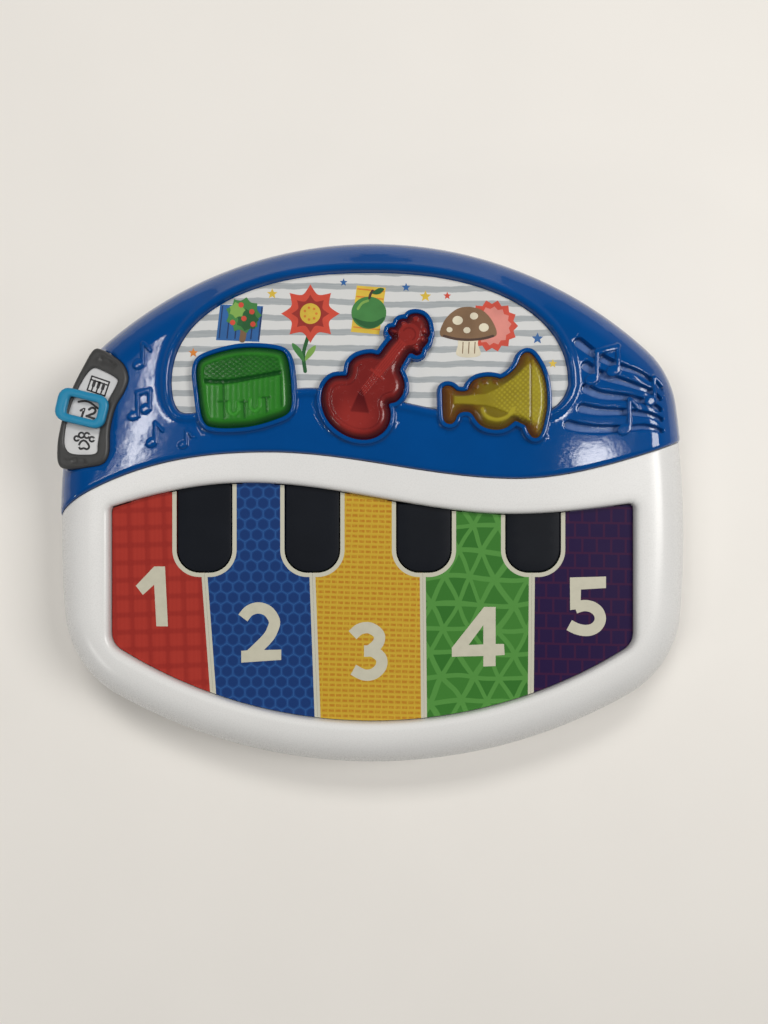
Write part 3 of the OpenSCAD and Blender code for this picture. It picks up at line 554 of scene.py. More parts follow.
trumpetLoop = respace(smoothLoop([
    (28.4, 45.8), (30.3, 46.6), (32.2, 45.9), (33.7, 44.6), (36.4, 44.3), (38.3, 44.9), (39.1, 46.8),
    (40.8, 48.8), (43.3, 49.8), (46.5, 50.2), (49.6, 49.8), (51.2, 49.4), (53, 50.1), (55.1, 51.5),
    (57.2, 53.6), (58.7, 56.1), (59.5, 58.2), (61, 59.7), (62.9, 59.7), (64.7, 58), (67, 54.3), (68.6, 50),
    (69.4, 45.5), (69.6, 41), (69.4, 37.1), (68.6, 33.1), (67.7, 29.3), (66.4, 26.8), (64.5, 26.4),
    (63.1, 27.7), (62.2, 29.3), (61.4, 31.1), (59.4, 32.2), (57.2, 33.1), (55.6, 32), (53.7, 30.6),
    (51, 29.7), (48.2, 29.7), (45.5, 30.3), (43.3, 31.5), (41.7, 33.3), (40.5, 35.2), (39.1, 36.5),
    (37, 36.8), (35, 36.3), (33.7, 35.1), (32.9, 33.2), (31.7, 32), (30, 32.1), (28.8, 33.6), (28.4, 38.2),
    (28.3, 42.7)], 4), 0.6)
buttonLoops = [drumLoop, violinLoop, trumpetLoop]
bezelLoop = respace(smoothLoop([
    (-112, 61.5), (-108.5, 61.6), (-104, 59), (-99.7, 55.5), (-97.8, 50), (-99.5, 44.5), (-102.5, 39.5),
    (-104.3, 34), (-105.3, 28), (-105.6, 20), (-108, 15.8), (-113.5, 14.4), (-123, 13.6), (-126.2, 16),
    (-126.5, 23), (-125.5, 29.5), (-123.5, 37.5), (-120.5, 46), (-116.5, 54)]), 0.8)
grilleRoutes = [
    [(83, 64.5), (90, 59.5), (98, 55.5), (107, 52.5), (112, 49.8)],
    [(86, 55), (92, 51.5), (103, 48), (111.5, 45), (116, 42)],
    [(86, 46), (92, 43.4), (101.5, 42.4), (110.5, 40.4), (116, 37.6)],
    [(84.5, 38), (92, 36.8), (103, 36.5), (111, 35.4), (116.5, 33.6)],
    [(79, 31.4), (84, 30.2), (92, 29.6), (103, 30), (110, 30.6), (116.5, 29)]]


def grooveLoops():
    wide, narrow = blueCover["groovePlan"]
    out = []
    for knots in grilleRoutes:
        r = respace(smoothRoute(knots), 1.2, closed=False)
        out.append(ribbonLoop(r, np.linspace(wide, narrow, len(r))))
    return out


# raised music notes: heads, stems, beams and flags
notes = dict(
    head=(5.4, 4.0), stem=1.5, turn=math.radians(25), flag=(1.8, 1.1), beam=2.2,
    single=[(-93.6, 55.6, 8.5, 0.86), (-88.4, 24.2, 7.5, 0.8), (-75.8, 23.3, 5.6, 0.66),
            (111.5, 41, 9.5, 0.95), (101, 29.5, 12, 1.05)],
    pairs=[((-95.6, 35, 9, 0.84), (-90.8, 37.8, 7.4, 0.84)), ((88, 49.5, 11, 1.05), (96.5, 53, 10, 1.05))],
)


def noteHead(x, y, size):
    wide, high = notes["head"]
    return ovalLoop(x, y, wide * size / 2, high * size / 2, notes["turn"], 28)


def bar(x0, y0, x1, y1, w):
    return ribbonLoop(respace(np.array([(x0, y0), (x1, y1)], float), 1.0, closed=False), w)


def noteShapes():
    reach = notes["head"][0] / 2 - notes["stem"] / 2
    out = []
    for x, y, h, k in notes["single"] + [n for pair in notes["pairs"] for n in pair]:
        out += [noteHead(x, y, k), bar(x + reach * k, y, x + reach * k, y + h, notes["stem"] * k)]
    for x, y, h, k in notes["single"]:
        top = np.array([x + reach * k, y + h])
        flag = smoothRoute([top, top + np.array([1.8, -1.3]) * k, top + np.array([3.4, -3.4]) * k], 4)
        out.append(ribbonLoop(flag, np.linspace(*notes["flag"], len(flag)) * k))
    for (x0, y0, h0, k), (x1, y1, h1, _) in notes["pairs"]:
        out.append(bar(x0 + reach * k, y0 + h0, x1 + reach * k, y1 + h1, notes["beam"] * k))
    return out


casingLoop = casingOutline(0)


def cutByWave(loop, blueSide, gap):
    dense = respace(loop, 1.5)
    above = dense[:, 1] - waveAt(dense[:, 0]) - gap
    keep = above > 0.2 if blueSide else above < -0.2
    start = next(i for i in range(len(dense)) if keep[i] and not keep[i - 1])
    run = np.roll(dense, -start, axis=0)[:keep.sum()]
    x0, x1 = run[-1, 0], run[0, 0]
    xs = np.linspace(x0, x1, int(abs(x1 - x0) / 1.4))
    crossings = np.stack([xs, waveAt(xs) + gap], axis=1)
    hold = -signedDistance(crossings, loop) > 0.05
    return np.concatenate([run, crossings[hold]])


def buildBlueCover():
    s = blueCover
    boundary = cutByWave(casingLoop, True, 0)
    bezelHole = offsetLoop(bezelLoop, 0.15)
    holes = [offsetLoop(l, s["rimGap"]) for l in buttonLoops] + [bezelHole]
    grooves, shapes = grooveLoops(), noteShapes()
    guides = [respace(r, 2.2) for r in domeRings(0)]
    guides += [offsetLoop(panelLoop, d) for d, _ in s["bead"]] + [offsetLoop(panelLoop, -1)]
    for l in buttonLoops:
        guides += [offsetLoop(l, d) for d, _ in s["buttonRim"][1:]]
    for g in grooves:
        guides += [g, offsetLoop(g, -0.25), offsetLoop(g, -0.5), offsetLoop(g, 0.25)]
    for g in shapes:
        guides += [g, offsetLoop(g, -0.22), offsetLoop(g, 0.12)]
    seams = [waveLine(d) for d in (0.15, 0.45, 0.9, 1.5, 2.2)]
    flat, faces = triangles(boundary, holes, [g for g in guides if len(g) > 2], seams, 1.6, s["fine"])
    depth = np.maximum(-signedDistance(flat, casingLoop), 0)
    z = domeHeight(depth, coverZ)
    z += roundOver(distanceTo(flat, waveLine(), False), s["seamRound"])
    out = signedDistance(flat, panelLoop)
    blend = softStep(out, *s["beadBlend"])
    z = (1 - blend) * (panelZ + profile(out, [(-1, 0), *s["bead"]])) + blend * z
    base, floorMark = z.copy(), np.zeros(len(z))
    for g in grooves:
        d = -signedDistance(flat, g)
        z -= profile(d, [(-0.25, 0), (0, 0.2), (0.25, s["groove"] - 0.3), (0.5, s["groove"])])
        floorMark = np.maximum(floorMark, softStep(d, 0.35, 0.9))
    for g in shapes:
        d = -signedDistance(flat, g)
        lift = profile(d, [(-0.12, 0), (0, 0.75), (0.22, s["noteRise"] - 0.12), (0.6, s["noteRise"])])
        rise = np.maximum(base, coverZ - 1.2) + lift
        z = np.where(d > -0.121, np.maximum(z, rise), z)
        floorMark = np.where(d > -0.1, 0, floorMark)
    for l in buttonLoops:
        d = signedDistance(flat, l)
        z = np.where((d > 0.2) & (d < 2.4), np.maximum(z, profile(d, s["buttonRim"])), z)

    def lowZ(p, z):
        atWave = np.abs(p[:, 1] - waveAt(p[:, 0])) < 0.3
        inHole = np.zeros(len(p), bool)
        for l in buttonLoops:
            inHole |= distanceTo(p, l) < 1.2
        inHole |= distanceTo(p, bezelLoop) < 1.0
        edge = np.where(atWave, np.maximum(z - s["waveWall"], casing["parting"]), casing["parting"])
        return np.where(inHole, s["holeFoot"], edge)
    verts, faces = skin(flat, faces, z, lowZ)
    obj = newObject("blueCover", verts, faces, "casing", ["top_cover"])
    mark(obj, "grooveFloor", floorMark)
    dress(obj, blueFinish)


buildBlueCover()
print("blue cover built")

# white cover: rounded rim, crossbar and key window
whiteCover = dict(halfWidth=106.5, front=89, frontArc=195, corner=8, backCorner=2.2, windowRound=2.6,
                  foot=36.2, barFoot=41.2, seam=0.2,
                  back=[(-107, -1.9, 0.33), (-50, 8.3, 0), (57, -4.4, 0), (107, 0.2, 0.14)])


def windowLoop(grow=0.0):
    s = whiteCover
    c = np.array([0, s["frontArc"] - s["front"]])
    w, r = s["halfWidth"] - s["corner"], s["frontArc"] - s["corner"]
    cc = np.array([w, c[1] - math.sqrt(r * r - w * w)])
    a = bearing(c, cc)
    r = s["backCorner"] + grow
    x = np.linspace(r - s["halfWidth"] - grow, s["halfWidth"] + grow - r, 120)
    back = np.stack([x, through(s["back"], x) + grow], axis=1)
    bend = arcPoints((0, -r), r, math.pi / 2, 0, 6)[1:]
    back = np.concatenate([back[:1] + bend[::-1] * [-1, 1], back, back[-1:] + bend])
    loop = np.concatenate([back, arcPoints(cc, s["corner"] + grow, 0, a, 12),
                           arcPoints(c, s["frontArc"] + grow, a, -math.pi - a, 140)[1:-1],
                           arcPoints(cc * [-1, 1], s["corner"] + grow, -math.pi - a, -math.pi, 12)])
    return loop[::-1]


windowEdge = respace(windowLoop(), 1.4)


def buildWhiteCover():
    s = whiteCover
    loop = casingOutline(casing["whiteInset"])
    boundary = cutByWave(loop, False, -s["seam"])
    guides = [respace(r, 2.2) for r in domeRings(casing["whiteInset"])]
    guides += [offsetLoop(windowEdge, d) for d in (0.25, 0.6, 1.1, 1.8, 2.6)]
    seams = [waveLine(-s["seam"] - d) for d in (0.1, 0.35, 0.8)]
    flat, faces = triangles(boundary, [windowEdge], [g for g in guides if len(g) > 2], seams, 1.8)
    z = domeHeight(np.maximum(-signedDistance(flat, loop), 0), rimZ, casing["whiteInset"])
    z += roundOver(distanceTo(flat, windowEdge), s["windowRound"])
    z += roundOver(np.abs(flat[:, 1] - waveAt(flat[:, 0]) + s["seam"]), 0.5)

    def lowZ(p, z):
        atWindow = distanceTo(p, windowEdge) < 0.3
        atBar = np.abs(p[:, 1] - through(s["back"], p[:, 0])) < 0.4
        atWave = np.abs(p[:, 1] - waveAt(p[:, 0])) < 0.6
        return np.where(atWindow, np.where(atBar, s["barFoot"], s["foot"]),
                        np.where(atWave, np.maximum(z - blueCover["waveWall"], casing["parting"]),
                                 casing["parting"]))
    verts, faces = skin(flat, faces, z, lowZ)
    obj = newObject("whiteCover", verts, faces, "casing", ["front_cover"])
    dress(obj, whiteFinish)


buildWhiteCover()
print("white cover built")

# keys: printed films with cream lines round the tabs and between neighbours, numerals on top
keys = dict(
    edges=[(-130, -130), (-68.5, -64.5), (-24.5, -22.5), (20.5, 21), (65, 64.5), (130, 130)],
    edgeY=(-29.5, -84),
    tabs=(-68.5, -24.5, 21, 65.5), tabHalf=11, tabFront=-28, tabRound=9, tabReach=2.6, clear=0.4,
    hairline=0.03, tabLine=2.1, divider=1.2, top=nodeTop("key_1_film"), filmThick=0.3,
    cream=srgb(184, 182, 166),
)


def edgeX(i, y):
    (a, b), (y0, y1) = keys["edges"][i], keys["edgeY"]
    return a + (b - a) * (y - y0) / (y1 - y0)


def tabDistance(points, x):
    r = keys["tabRound"]
    qx = np.abs(points[:, 0] - x) - (keys["tabHalf"] - r)
    qy = keys["tabFront"] + r - points[:, 1]
    return np.hypot(np.maximum(qx, 0), np.maximum(qy, 0)) + np.minimum(np.maximum(qx, qy), 0) - r


def tabOutline(x, grow, back=12):
    h, r, y = keys["tabHalf"] + grow, keys["tabRound"] + grow, keys["tabFront"] + keys["tabRound"]
    left = arcPoints((x - h + r, y), r, math.pi, 1.5 * math.pi, 10)
    right = arcPoints((x + h - r, y), r, 1.5 * math.pi, 2 * math.pi, 10)
    return np.concatenate([[(x - h, back)], left, right, [(x + h, back)]])


def buildTabs(finish):
    s = keys
    for k, x in enumerate(s["tabs"]):
        sides = np.array([x - s["tabHalf"], x + s["tabHalf"]])
        loop = respace(tabOutline(x, 0, through(whiteCover["back"], sides).min() + s["tabReach"]), 0.8)
        flat, faces = triangles(loop, guides=[offsetLoop(loop, -d) for d in (0.15, 0.35, 0.7)], step=3)
        z = s["top"] + roundOver(distanceTo(flat, loop), 0.7)
        verts, faces = skin(flat, faces, z, lambda p, h: np.full(len(p), nodeLow("black_key_tabs")))
        obj = newObject(f"darkTab{k + 1}", verts, faces, "casing", ["black_key_tabs"])
        dress(obj, finish)


def buildFilms(finishes):
    s = keys
    boundary = respace(windowLoop(-s["clear"]), 1.4)
    lines = [tabOutline(x, s["clear"]) for x in s["tabs"]]
    reach = np.linspace(14, -96, 30)
    for i in range(1, 5):
        for side in (-1, 1):
            lines.append(np.stack([edgeX(i, reach) + side * s["hairline"], reach], axis=1))
    flat, faces = triangles(boundary, openGuides=lines, step=6)
    mid = flat[faces].mean(1)
    blocked = np.zeros(len(mid), bool)
    for x in s["tabs"]:
        blocked |= tabDistance(mid, x) < s["clear"] - 0.01
    for i, finish in enumerate(finishes):
        left, right = edgeX(i, mid[:, 1]) + s["hairline"], edgeX(i + 1, mid[:, 1]) - s["hairline"]
        mine = (mid[:, 0] > left) & (mid[:, 0] < right)
        own = faces[mine & ~blocked]
        used, index = np.unique(own, return_inverse=True)
        verts, sheet = skin(flat[used], index.reshape(own.shape), np.full(len(used), s["top"]),
                            lambda p, z: np.full(len(p), s["top"] - s["filmThick"]))
        name = f"key_{i + 1}"
        obj = newObject(f"keyFilm{i + 1}", verts, sheet, name, [f"{name}_film"],
                        smooth=False)
        dress(obj, finish)


keyColours = ["red", "blue", "yellow", "green", "purple"]


# printed film: a pattern of two or three inks, then the cream lines, with a faint weave in the surface
def printedFilm(i, pattern):
    s = keys
    f = Finish(f"{keyColours[i]}Film", Specular_IOR_Level=0.14)
    x, y, _ = f.place()
    wobble = (f.noise(90, 2) - 0.5) * 0.35
    line = None
    for k in (i, i + 1):
        if 0 < k < 5:
            (a, b), (y0, y1) = s["edges"][k], s["edgeY"]
            off = (x - (a + (b - a) * (y - y0) / (y1 - y0))).abs()
            stripe = (1 - off.step(s["divider"] - 0.08, s["divider"] + 0.08)) * (y < s["tabFront"])
            line = stripe if line is None else line.max(stripe)
            tab = s["tabs"][k - 1]
            qx = (x - tab).abs() - (s["tabHalf"] - s["tabRound"])
            qy = s["tabFront"] + s["tabRound"] - y
            px, py = qx.max(0), qy.max(0)
            out = (px * px + py * py).sqrt() + qx.max(qy).min(0) - s["tabRound"]
            line = line.max(1 - out.step(s["tabLine"] - 0.08, s["tabLine"] + 0.08))
    ink = pattern(f, x + wobble, y + wobble)
    cloth = f.noise(3400, 1)
    f.set(Base_Color=f.mix(line, ink, s["cream"]), Roughness=0.46 + f.noise(60, 3) * 0.14,
          Normal=f.bump(cloth, 0.12))
    return f


def redPlaid(f, x, y):
    pitch, line = 7.1, 0.11
    across = ((x + y * 0.03) / pitch).fract() - 0.5
    along = ((y - x * 0.03) / pitch).fract() - 0.5
    fold = 0.5 - across.abs()
    rise = 0.5 - along.abs()
    dark = (1 - fold.step(line * 0.5, line * 2.1)) * 0.75 + (1 - rise.step(line * 0.5, line * 2.1)) * 0.75
    fine = ((x / pitch * 4).fract() - 0.5).abs().step(0.1, 0.5) * 0.18
    return f.mix((dark + fine).min(1), srgb(157, 51, 42), srgb(140, 42, 36))


def blueDots(f, x, y):
    pitch = 4.95
    u, v = x / pitch, y / pitch
    ax, ay = u.fract() - 0.5, (v / 1.732).fract() * 1.732 - 0.866
    bx, by = (u + 0.5).fract() - 0.5, (v / 1.732 + 0.5).fract() * 1.732 - 0.866
    near = (ax * ax + ay * ay) < (bx * bx + by * by)
    hx = (near * ax + (1 - near) * bx).abs()
    hy = (near * ay + (1 - near) * by).abs()
    radius = (hx * hx + hy * hy).sqrt()
    hexagon = hx.max(hx * 0.5 + hy * 0.866)
    base = f.mix(1 - radius.step(0.37, 0.43), srgb(30, 65, 121), srgb(24, 52, 104))
    return f.mix(hexagon.step(0.455, 0.485), base, srgb(42, 82, 136))


def yellowWeave(f, x, y):
    high, long = 2.1, 2.7
    row = (y + x * 0.03) / high
    odd = (row.floor() / 2).fract() * 2
    column = (x - y * 0.02) / long + odd * 0.1
    inRow = (row.fract() - 0.5).abs()
    inColumn = (column.fract() - 0.5).abs()
    dash = (1 - inRow.step(0.17, 0.34)) * (1 - inColumn.step(0.33, 0.46))
    worn = f.noise(700, 3).step(0.3, 0.6)
    ground = f.mix(odd * 0.35, srgb(186, 154, 50), srgb(177, 142, 44))
    return f.mix(dash * (0.45 + 0.5 * worn), ground, srgb(169, 115, 34))


def greenTriangles(f, x, y):
    side, high, line = 11.4, 10.2, 0.95
    bendX, bendY = (f.noise(38, 1) - 0.5) * 9.0, (f.noise(31, 1) - 0.5) * 8.0
    rows = (y + bendY) / high
    rising = (x + bendX) / side + rows * 0.5
    axes = [rows, rising, rising - rows]
    near = None
    for a in axes:
        d = (0.5 - (a.fract() - 0.5).abs()) * high
        near = d if near is None else near.min(d)
    cell = f.node("ShaderNodeCombineXYZ", {}, [a.floor() for a in axes])
    tone = f.node("ShaderNodeTexWhiteNoise", dict(noise_dimensions="3D"), dict(Vector=cell))
    dark = f.mix(tone, srgb(46, 102, 38), srgb(60, 117, 47))
    return f.mix(1 - near.step(line - 0.15, line + 0.15), dark, srgb(77, 133, 61))


def purpleBricks(f, x, y):
    wide, high = 5.9, 6.2
    row = (y + x * 0.02) / high
    odd = (row.floor() / 2).fract() * 2
    column = x / wide + odd * 0.5
    joint = 0.5 - (row.fract() - 0.5).abs().max((column.fract() - 0.5).abs())
    return f.mix(1 - joint.step(0.05, 0.1), srgb(33, 17, 58), srgb(52, 20, 55))


filmPatterns = [redPlaid, blueDots, yellowWeave, greenTriangles, purpleBricks]
buildFilms([printedFilm(i, p) for i, p in enumerate(filmPatterns)])

# numerals: flat strokes printed on the films
numerals = dict(stroke=4.6, colour=srgb(186, 183, 165))
inkLayers = dict(step=0.015, sink=0.05)


def flatStroke(route, width):
    r = respace(smoothRoute(route, 10), 0.6, closed=False)
    t = np.gradient(r, axis=0)
    t /= np.linalg.norm(t, axis=1, keepdims=True)
    n = np.stack([-t[:, 1], t[:, 0]], axis=1) * width / 2
    return np.concatenate([r - n, (r + n)[::-1]])


def printShape(name, body, loop, order, finish, top, holes=()):
    flat, faces = triangles(np.array(loop, float), [np.array(h, float) for h in holes], step=9)
    verts, sheet = skin(flat, faces, np.full(len(flat), top + inkLayers["step"] * (order + 1)),
                        lambda p, z: np.full(len(p), top - inkLayers["sink"]))
    obj = newObject(name, verts, sheet, body, smooth=False)
    dress(obj, finish)


def buildNumerals():
    f = Finish("numeralInk", Roughness=0.5)
    f.set(Base_Color=f.mix(f.noise(300, 4).step(0.35, 0.75), numerals["colour"],
                           shade(numerals["colour"], 0.93)),
          Normal=f.bump(f.noise(3400, 1), 0.1))
    w = numerals["stroke"]
    shapes = [
        (1, [(-89.0, -25.8), (-84.6, -25.8), (-83.4, -50.2), (-88.1, -50.2), (-89.0, -33.2), (-93.6, -37.4),
             (-96.5, -33.7)], ()),
        (2, flatStroke([(-52.8, -46.8), (-50.3, -43.9), (-46.5, -42.7), (-42.5, -44.1), (-40, -48),
                        (-40.8, -51.7), (-43.1, -55.4), (-49.6, -61.8)], w), ()),
        (2, [(-53.5, -60.2), (-51, -60), (-37.2, -59.7), (-37.2, -63.9), (-53.5, -65)], ()),
        (3, flatStroke([(-8.1, -53.8), (-5.1, -51.3), (-1, -50.9), (2.6, -53.5), (2.3, -57), (-1, -60),
                        (-3.4, -60.3)], w), ()),
        (3, flatStroke([(-3.4, -60.3), (0.2, -60.5), (3.5, -63.1), (3.4, -66.8), (0.4, -69.6), (-3.5, -70),
                        (-7.8, -67.9)], w), ()),
        (4, [(45.5, -42.3), (50.2, -42.3), (50.2, -57.4), (53.6, -57.4), (53.9, -61.9), (50.2, -62.1),
             (50.2, -66.4), (45.2, -66.6), (45.2, -62.3), (32.4, -62.6), (32.3, -59)],
         ([(45.2, -49.7), (45.2, -57.6), (39.2, -57.8)],)),
        (5, [(80.5, -30.3), (95.2, -29.9), (95.2, -34.6), (85, -35.2), (84.9, -39.9), (84.7, -43.0),
             (80.6, -43.6)], ()),
        (5, flatStroke([(82.6, -42.8), (85.8, -41.8), (89.2, -42.2), (91.9, -44.1), (92.9, -46.9),
                        (92.1, -49.5), (89.8, -51.4), (86.6, -51.9), (83.2, -51.2), (80.2, -49.7)], w), ()),
    ]
    for order, (k, loop, holes) in enumerate(shapes):
        printShape(f"numeral{k}Stroke{order}", f"key_{k}", loop, order % 3, f,
                   keys["top"], holes)


buildNumerals()
buildTabs(mouldedPlastic("tabFilm", srgb(20, 23, 29), rough=0.5, mottle=0.1, skinDepth=0.2, gloss=0.14))
print("keys built")

# push buttons: tinted clear plastic with moulded relief; point attributes carry how deep the tint is, with a
# painted glow on the violin's lower body and a painted highlight along the trumpet's loop
buttons = dict(
    edge=46.6, shoulder=48.9, slope=2.3, top=nodeTop("drum_button") - 0.35,
    foot=nodeLow("drum_button") + 0.3, step=0.4, tint=0.42, reach=0.28,
)


def buildButton(name, loop, finish, features, fine=()):
    s = buttons
    rim = offsetLoop(loop, s["reach"])
    marks = [offsetLoop(loop, -d) for d in (0.3, 0.8, 1.4, 2.0, 2.5, 3.0)]
    flat, faces = triangles(rim, guides=[loop] + [m for m in marks if len(m) > 2], step=s["step"],
                            fine=fine)
    d = -signedDistance(flat, loop)
    z = profile(d, [(0, s["edge"]), (0.25, s["edge"] + 0.7), (s["slope"] - 0.5, s["shoulder"] - 0.25),
                    (s["slope"], s["shoulder"]), (s["slope"] + 0.9, s["top"])])
    depth = 1 - softStep(d, 0.4, s["slope"] + 0.4)
    rise, tint, second = features(flat, d)
    z = np.minimum(z + rise * softStep(d, 0.3, 1.2), s["top"] + 0.3)
    verts, faces = skin(flat, faces, z, lambda p, h: np.full(len(p), s["foot"]))
    obj = newObject(name + "Button", verts, faces, name + "_button", [name + "_button"])
    mark(obj, "tint", np.clip(s["tint"] + depth * 0.45 + tint, 0, 1), 1.0)
    mark(obj, "second", second)
    dress(obj, finish)


def clearPlastic(name, light, deep, other):
    f = Finish(name, Specular_IOR_Level=0.28, Coat_Weight=0.05, Coat_Roughness=0.1)
    cloud = f.noise(120, 3) * 0.24
    ink = f.mix((f.attribute("tint") + cloud - 0.12).step(0.0, 1.0), light, deep)
    f.set(Base_Color=f.mix(f.attribute("second"), ink, other),
          Roughness=0.2 + f.noise(500, 4).step(0.55, 0.8) * 0.2,
          Normal=f.bump(f.noise(260, 2), 0.1, 0.0003))
    return f


def drumRelief(p, d):
    hoop = smoothRoute([(-72, 48.3), (-69.4, 48.4), (-58.2, 48.1), (-48.3, 49.6), (-34.4, 52.1), (-31, 52.8)], 8)
    fromHoop = distanceTo(p, hoop, False)
    onHead = p[:, 1] > np.interp(p[:, 0], hoop[:, 0], hoop[:, 1])
    band = ridge(fromHoop, 0.85, 0.5)
    cords = np.zeros(len(p))
    for x, high, low in ((-59, 47, 33), (-50.8, 40.6, 32.4), (-42.1, 41.6, 35), (-36.2, 50, 37.5)):
        cord = distanceTo(p, np.array([(x, high), (x + 0.3, low)]), False)
        cords = np.maximum(cords, ridge(cord, 0.4, 0.45))
    for x, y in ((-59.2, 40.2), (-51, 40), (-42, 41.8)):
        tie = distanceTo(p, np.array([(x - 1.6, y), (x + 1.5, y + 0.2)]), False)
        cords = np.maximum(cords, 0.8 * ridge(tie, 0.35, 0.4))
    cups = np.zeros(len(p))
    for x, y in ((-55, 36.6), (-46.6, 38)):
        cup = smoothRoute([(x - 1.9, y + 3.2), (x - 1.8, y), (x, y - 1.6), (x + 1.8, y), (x + 1.9, y + 3.2)], 6)
        cups = np.maximum(cups, ridge(distanceTo(p, cup, False), 0.55, 0.5))
    staves = 0.5 + 0.5 * np.cos(p[:, 0] * 2 * math.pi / 2.1)
    pebble = 0.5 + 0.5 * np.cos(p[:, 0] * 2 * math.pi / 2.6) * np.cos(p[:, 1] * 2 * math.pi / 1.9)
    body = softStep(d, 2.4, 3.4)
    rise = body * (0.2 * cups - 0.35 * band - 0.15 * cords + np.where(onHead, 0.06 * pebble, 0.03 * staves))
    tint = body * (0.42 * band + 0.34 * cords - 0.26 * cups
                   + np.where(onHead, 0.34 - 0.22 * pebble, 0.04 - 0.09 * staves))
    return rise, tint, np.zeros(len(p))


def violinRelief(p, d):
    foot, head = np.array([-5.1, 42.5]), np.array([14.6, 66.8])
    u = (head - foot) / np.linalg.norm(head - foot)
    along = (p - foot) @ u
    across = (p - foot) @ np.array([-u[1], u[0]])
    neck = ridge(np.abs(across), 2.2, 0.5) * softStep(along, 11, 12) * (1 - softStep(along, 27, 28))
    strings = np.zeros(len(p))
    for k in (-1.35, -0.45, 0.45, 1.35):
        strings = np.maximum(strings, ridge(np.abs(across - k * (0.8 + 0.2 * along / 20)), 0.2, 0.2))
    strings *= softStep(along, 0, 2) * (1 - softStep(along, 27, 28))
    fromHead = np.hypot(p[:, 0] - head[0], p[:, 1] - head[1])
    scroll = ridge(fromHead, 4.4, 0.5)
    curl = ridge(np.abs(fromHead - 2.6), 0.3, 0.3) * (p[:, 0] + p[:, 1] > head.sum() - 1)
    pegs = np.zeros(len(p))
    for x, y in ((12.6, 71.4), (8.3, 68.3), (21.2, 68.4), (20.6, 65), (17.8, 61.2), (17.4, 73.2)):
        pegs = np.maximum(pegs, ridge(np.hypot(p[:, 0] - x, p[:, 1] - y), 1.25, 0.5))
    tail = signedDistance(p, np.array([(-8.3, 36.6), (-1.5, 36.0), (-4.4, 45.1)]))
    bridge = ridge(np.abs(along - 11), 0.55, 0.4) * ridge(np.abs(across), 3.3, 0.6)
    purfling = ridge(np.abs(d - 3.7), 0.22, 0.35) * (along < 10)
    glow = 1 - softStep(np.hypot(p[:, 0] + 7, p[:, 1] - 33), 2, 11)
    rise = (0.35 * neck + 0.2 * strings + 0.7 * scroll - 0.2 * curl + 0.8 * pegs + 0.25 * bridge
            - 0.15 * purfling)
    tint = (0.1 - 0.3 * strings - 0.14 * neck - 0.16 * scroll + 0.2 * curl - 0.2 * pegs - 0.22 * bridge
            + 0.14 * purfling - 0.26 * glow + 0.3 * ridge(np.maximum(tail, 0), 0.3, 0.6))
    return rise, tint, np.zeros(len(p))


def trumpetRelief(p, d):
    x, y = p[:, 0], p[:, 1]
    axis = np.interp(x, [28, 33, 45, 58, 69], [39.1, 40.9, 41.0, 42.3, 43.2])
    half = np.interp(x, [33, 45, 50, 56, 60, 64, 69], [1.6, 2.2, 4.0, 7.5, 11, 15, 18])
    tube = ridge(np.abs(y - axis) - half, 0, 0.8) * softStep(x, 32, 33)
    bell = softStep(x, 46, 52) * tube
    # loop of tubing: a raised ridge along this smile-shaped arc, also painted lighter as a painted highlight
    # along its lower edge
    loopHighlightArc = smoothRoute([(43.7, 37.2), (45, 34.6), (49.2, 33), (53.6, 34.2), (56, 37.2)], 8)
    loop = ridge(distanceTo(p, loopHighlightArc, False), 0.75, 0.6)
    valves = np.zeros(len(p))
    for vx, vy in ((40.8, 46.7), (44.7, 48.2), (48.9, 48.3)):
        valves = np.maximum(valves, ridge(np.hypot(x - vx, y - vy), 1.3, 0.4))
    mouth = 1 - softStep(x, 31.8, 32.6)
    line = ridge(np.abs(x - 63.0), 0.3, 0.3)
    dots = (1 - line) * np.clip(np.cos(x * math.pi / 1.05) * np.cos((y - axis) * math.pi / 1.05), 0, 1)
    sides = (1 - tube) * softStep(x, 32, 33) * (1 - softStep(x, 40, 46))
    ends = softStep(x, 57, 59.5) * (1 - softStep(x, 65, 67)) * softStep(np.abs(y - axis), 9.5, 13)
    edge = 1 - softStep(d, 0.5, 1.6)
    rise = 0.5 * tube + 0.4 * loop + 0.9 * valves + 0.4 * mouth - 0.4 * line + 0.3 * bell * dots
    # the -0.5 * loop term paints the highlight along the loop's lower edge
    tint = 0.3 - 0.26 * tube - 0.5 * loop - 0.5 * bell * dots + 0.35 * line - 0.12 * softStep(x, 63.2, 64)
    second = np.clip(0.85 * mouth + 0.7 * valves + 0.6 * sides + 0.5 * ends * (y < axis) + 0.35 * ends
                     + 0.4 * edge, 0, 0.9)
    return rise, tint, second


buildButton("drum", drumLoop,
            clearPlastic("greenClear", srgb(54, 134, 44), srgb(14, 62, 22), srgb(14, 62, 22)), drumRelief)
buildButton("violin", violinLoop,
            clearPlastic("redClear", srgb(146, 48, 43), srgb(66, 15, 20), srgb(66, 15, 20)), violinRelief,
            [((-8, 42), (22, 76), 0.28)])
buildButton("trumpet", trumpetLoop,
            clearPlastic("amberClear", srgb(156, 144, 42), srgb(94, 78, 20), srgb(98, 58, 24)),
            trumpetRelief)
print("buttons built")

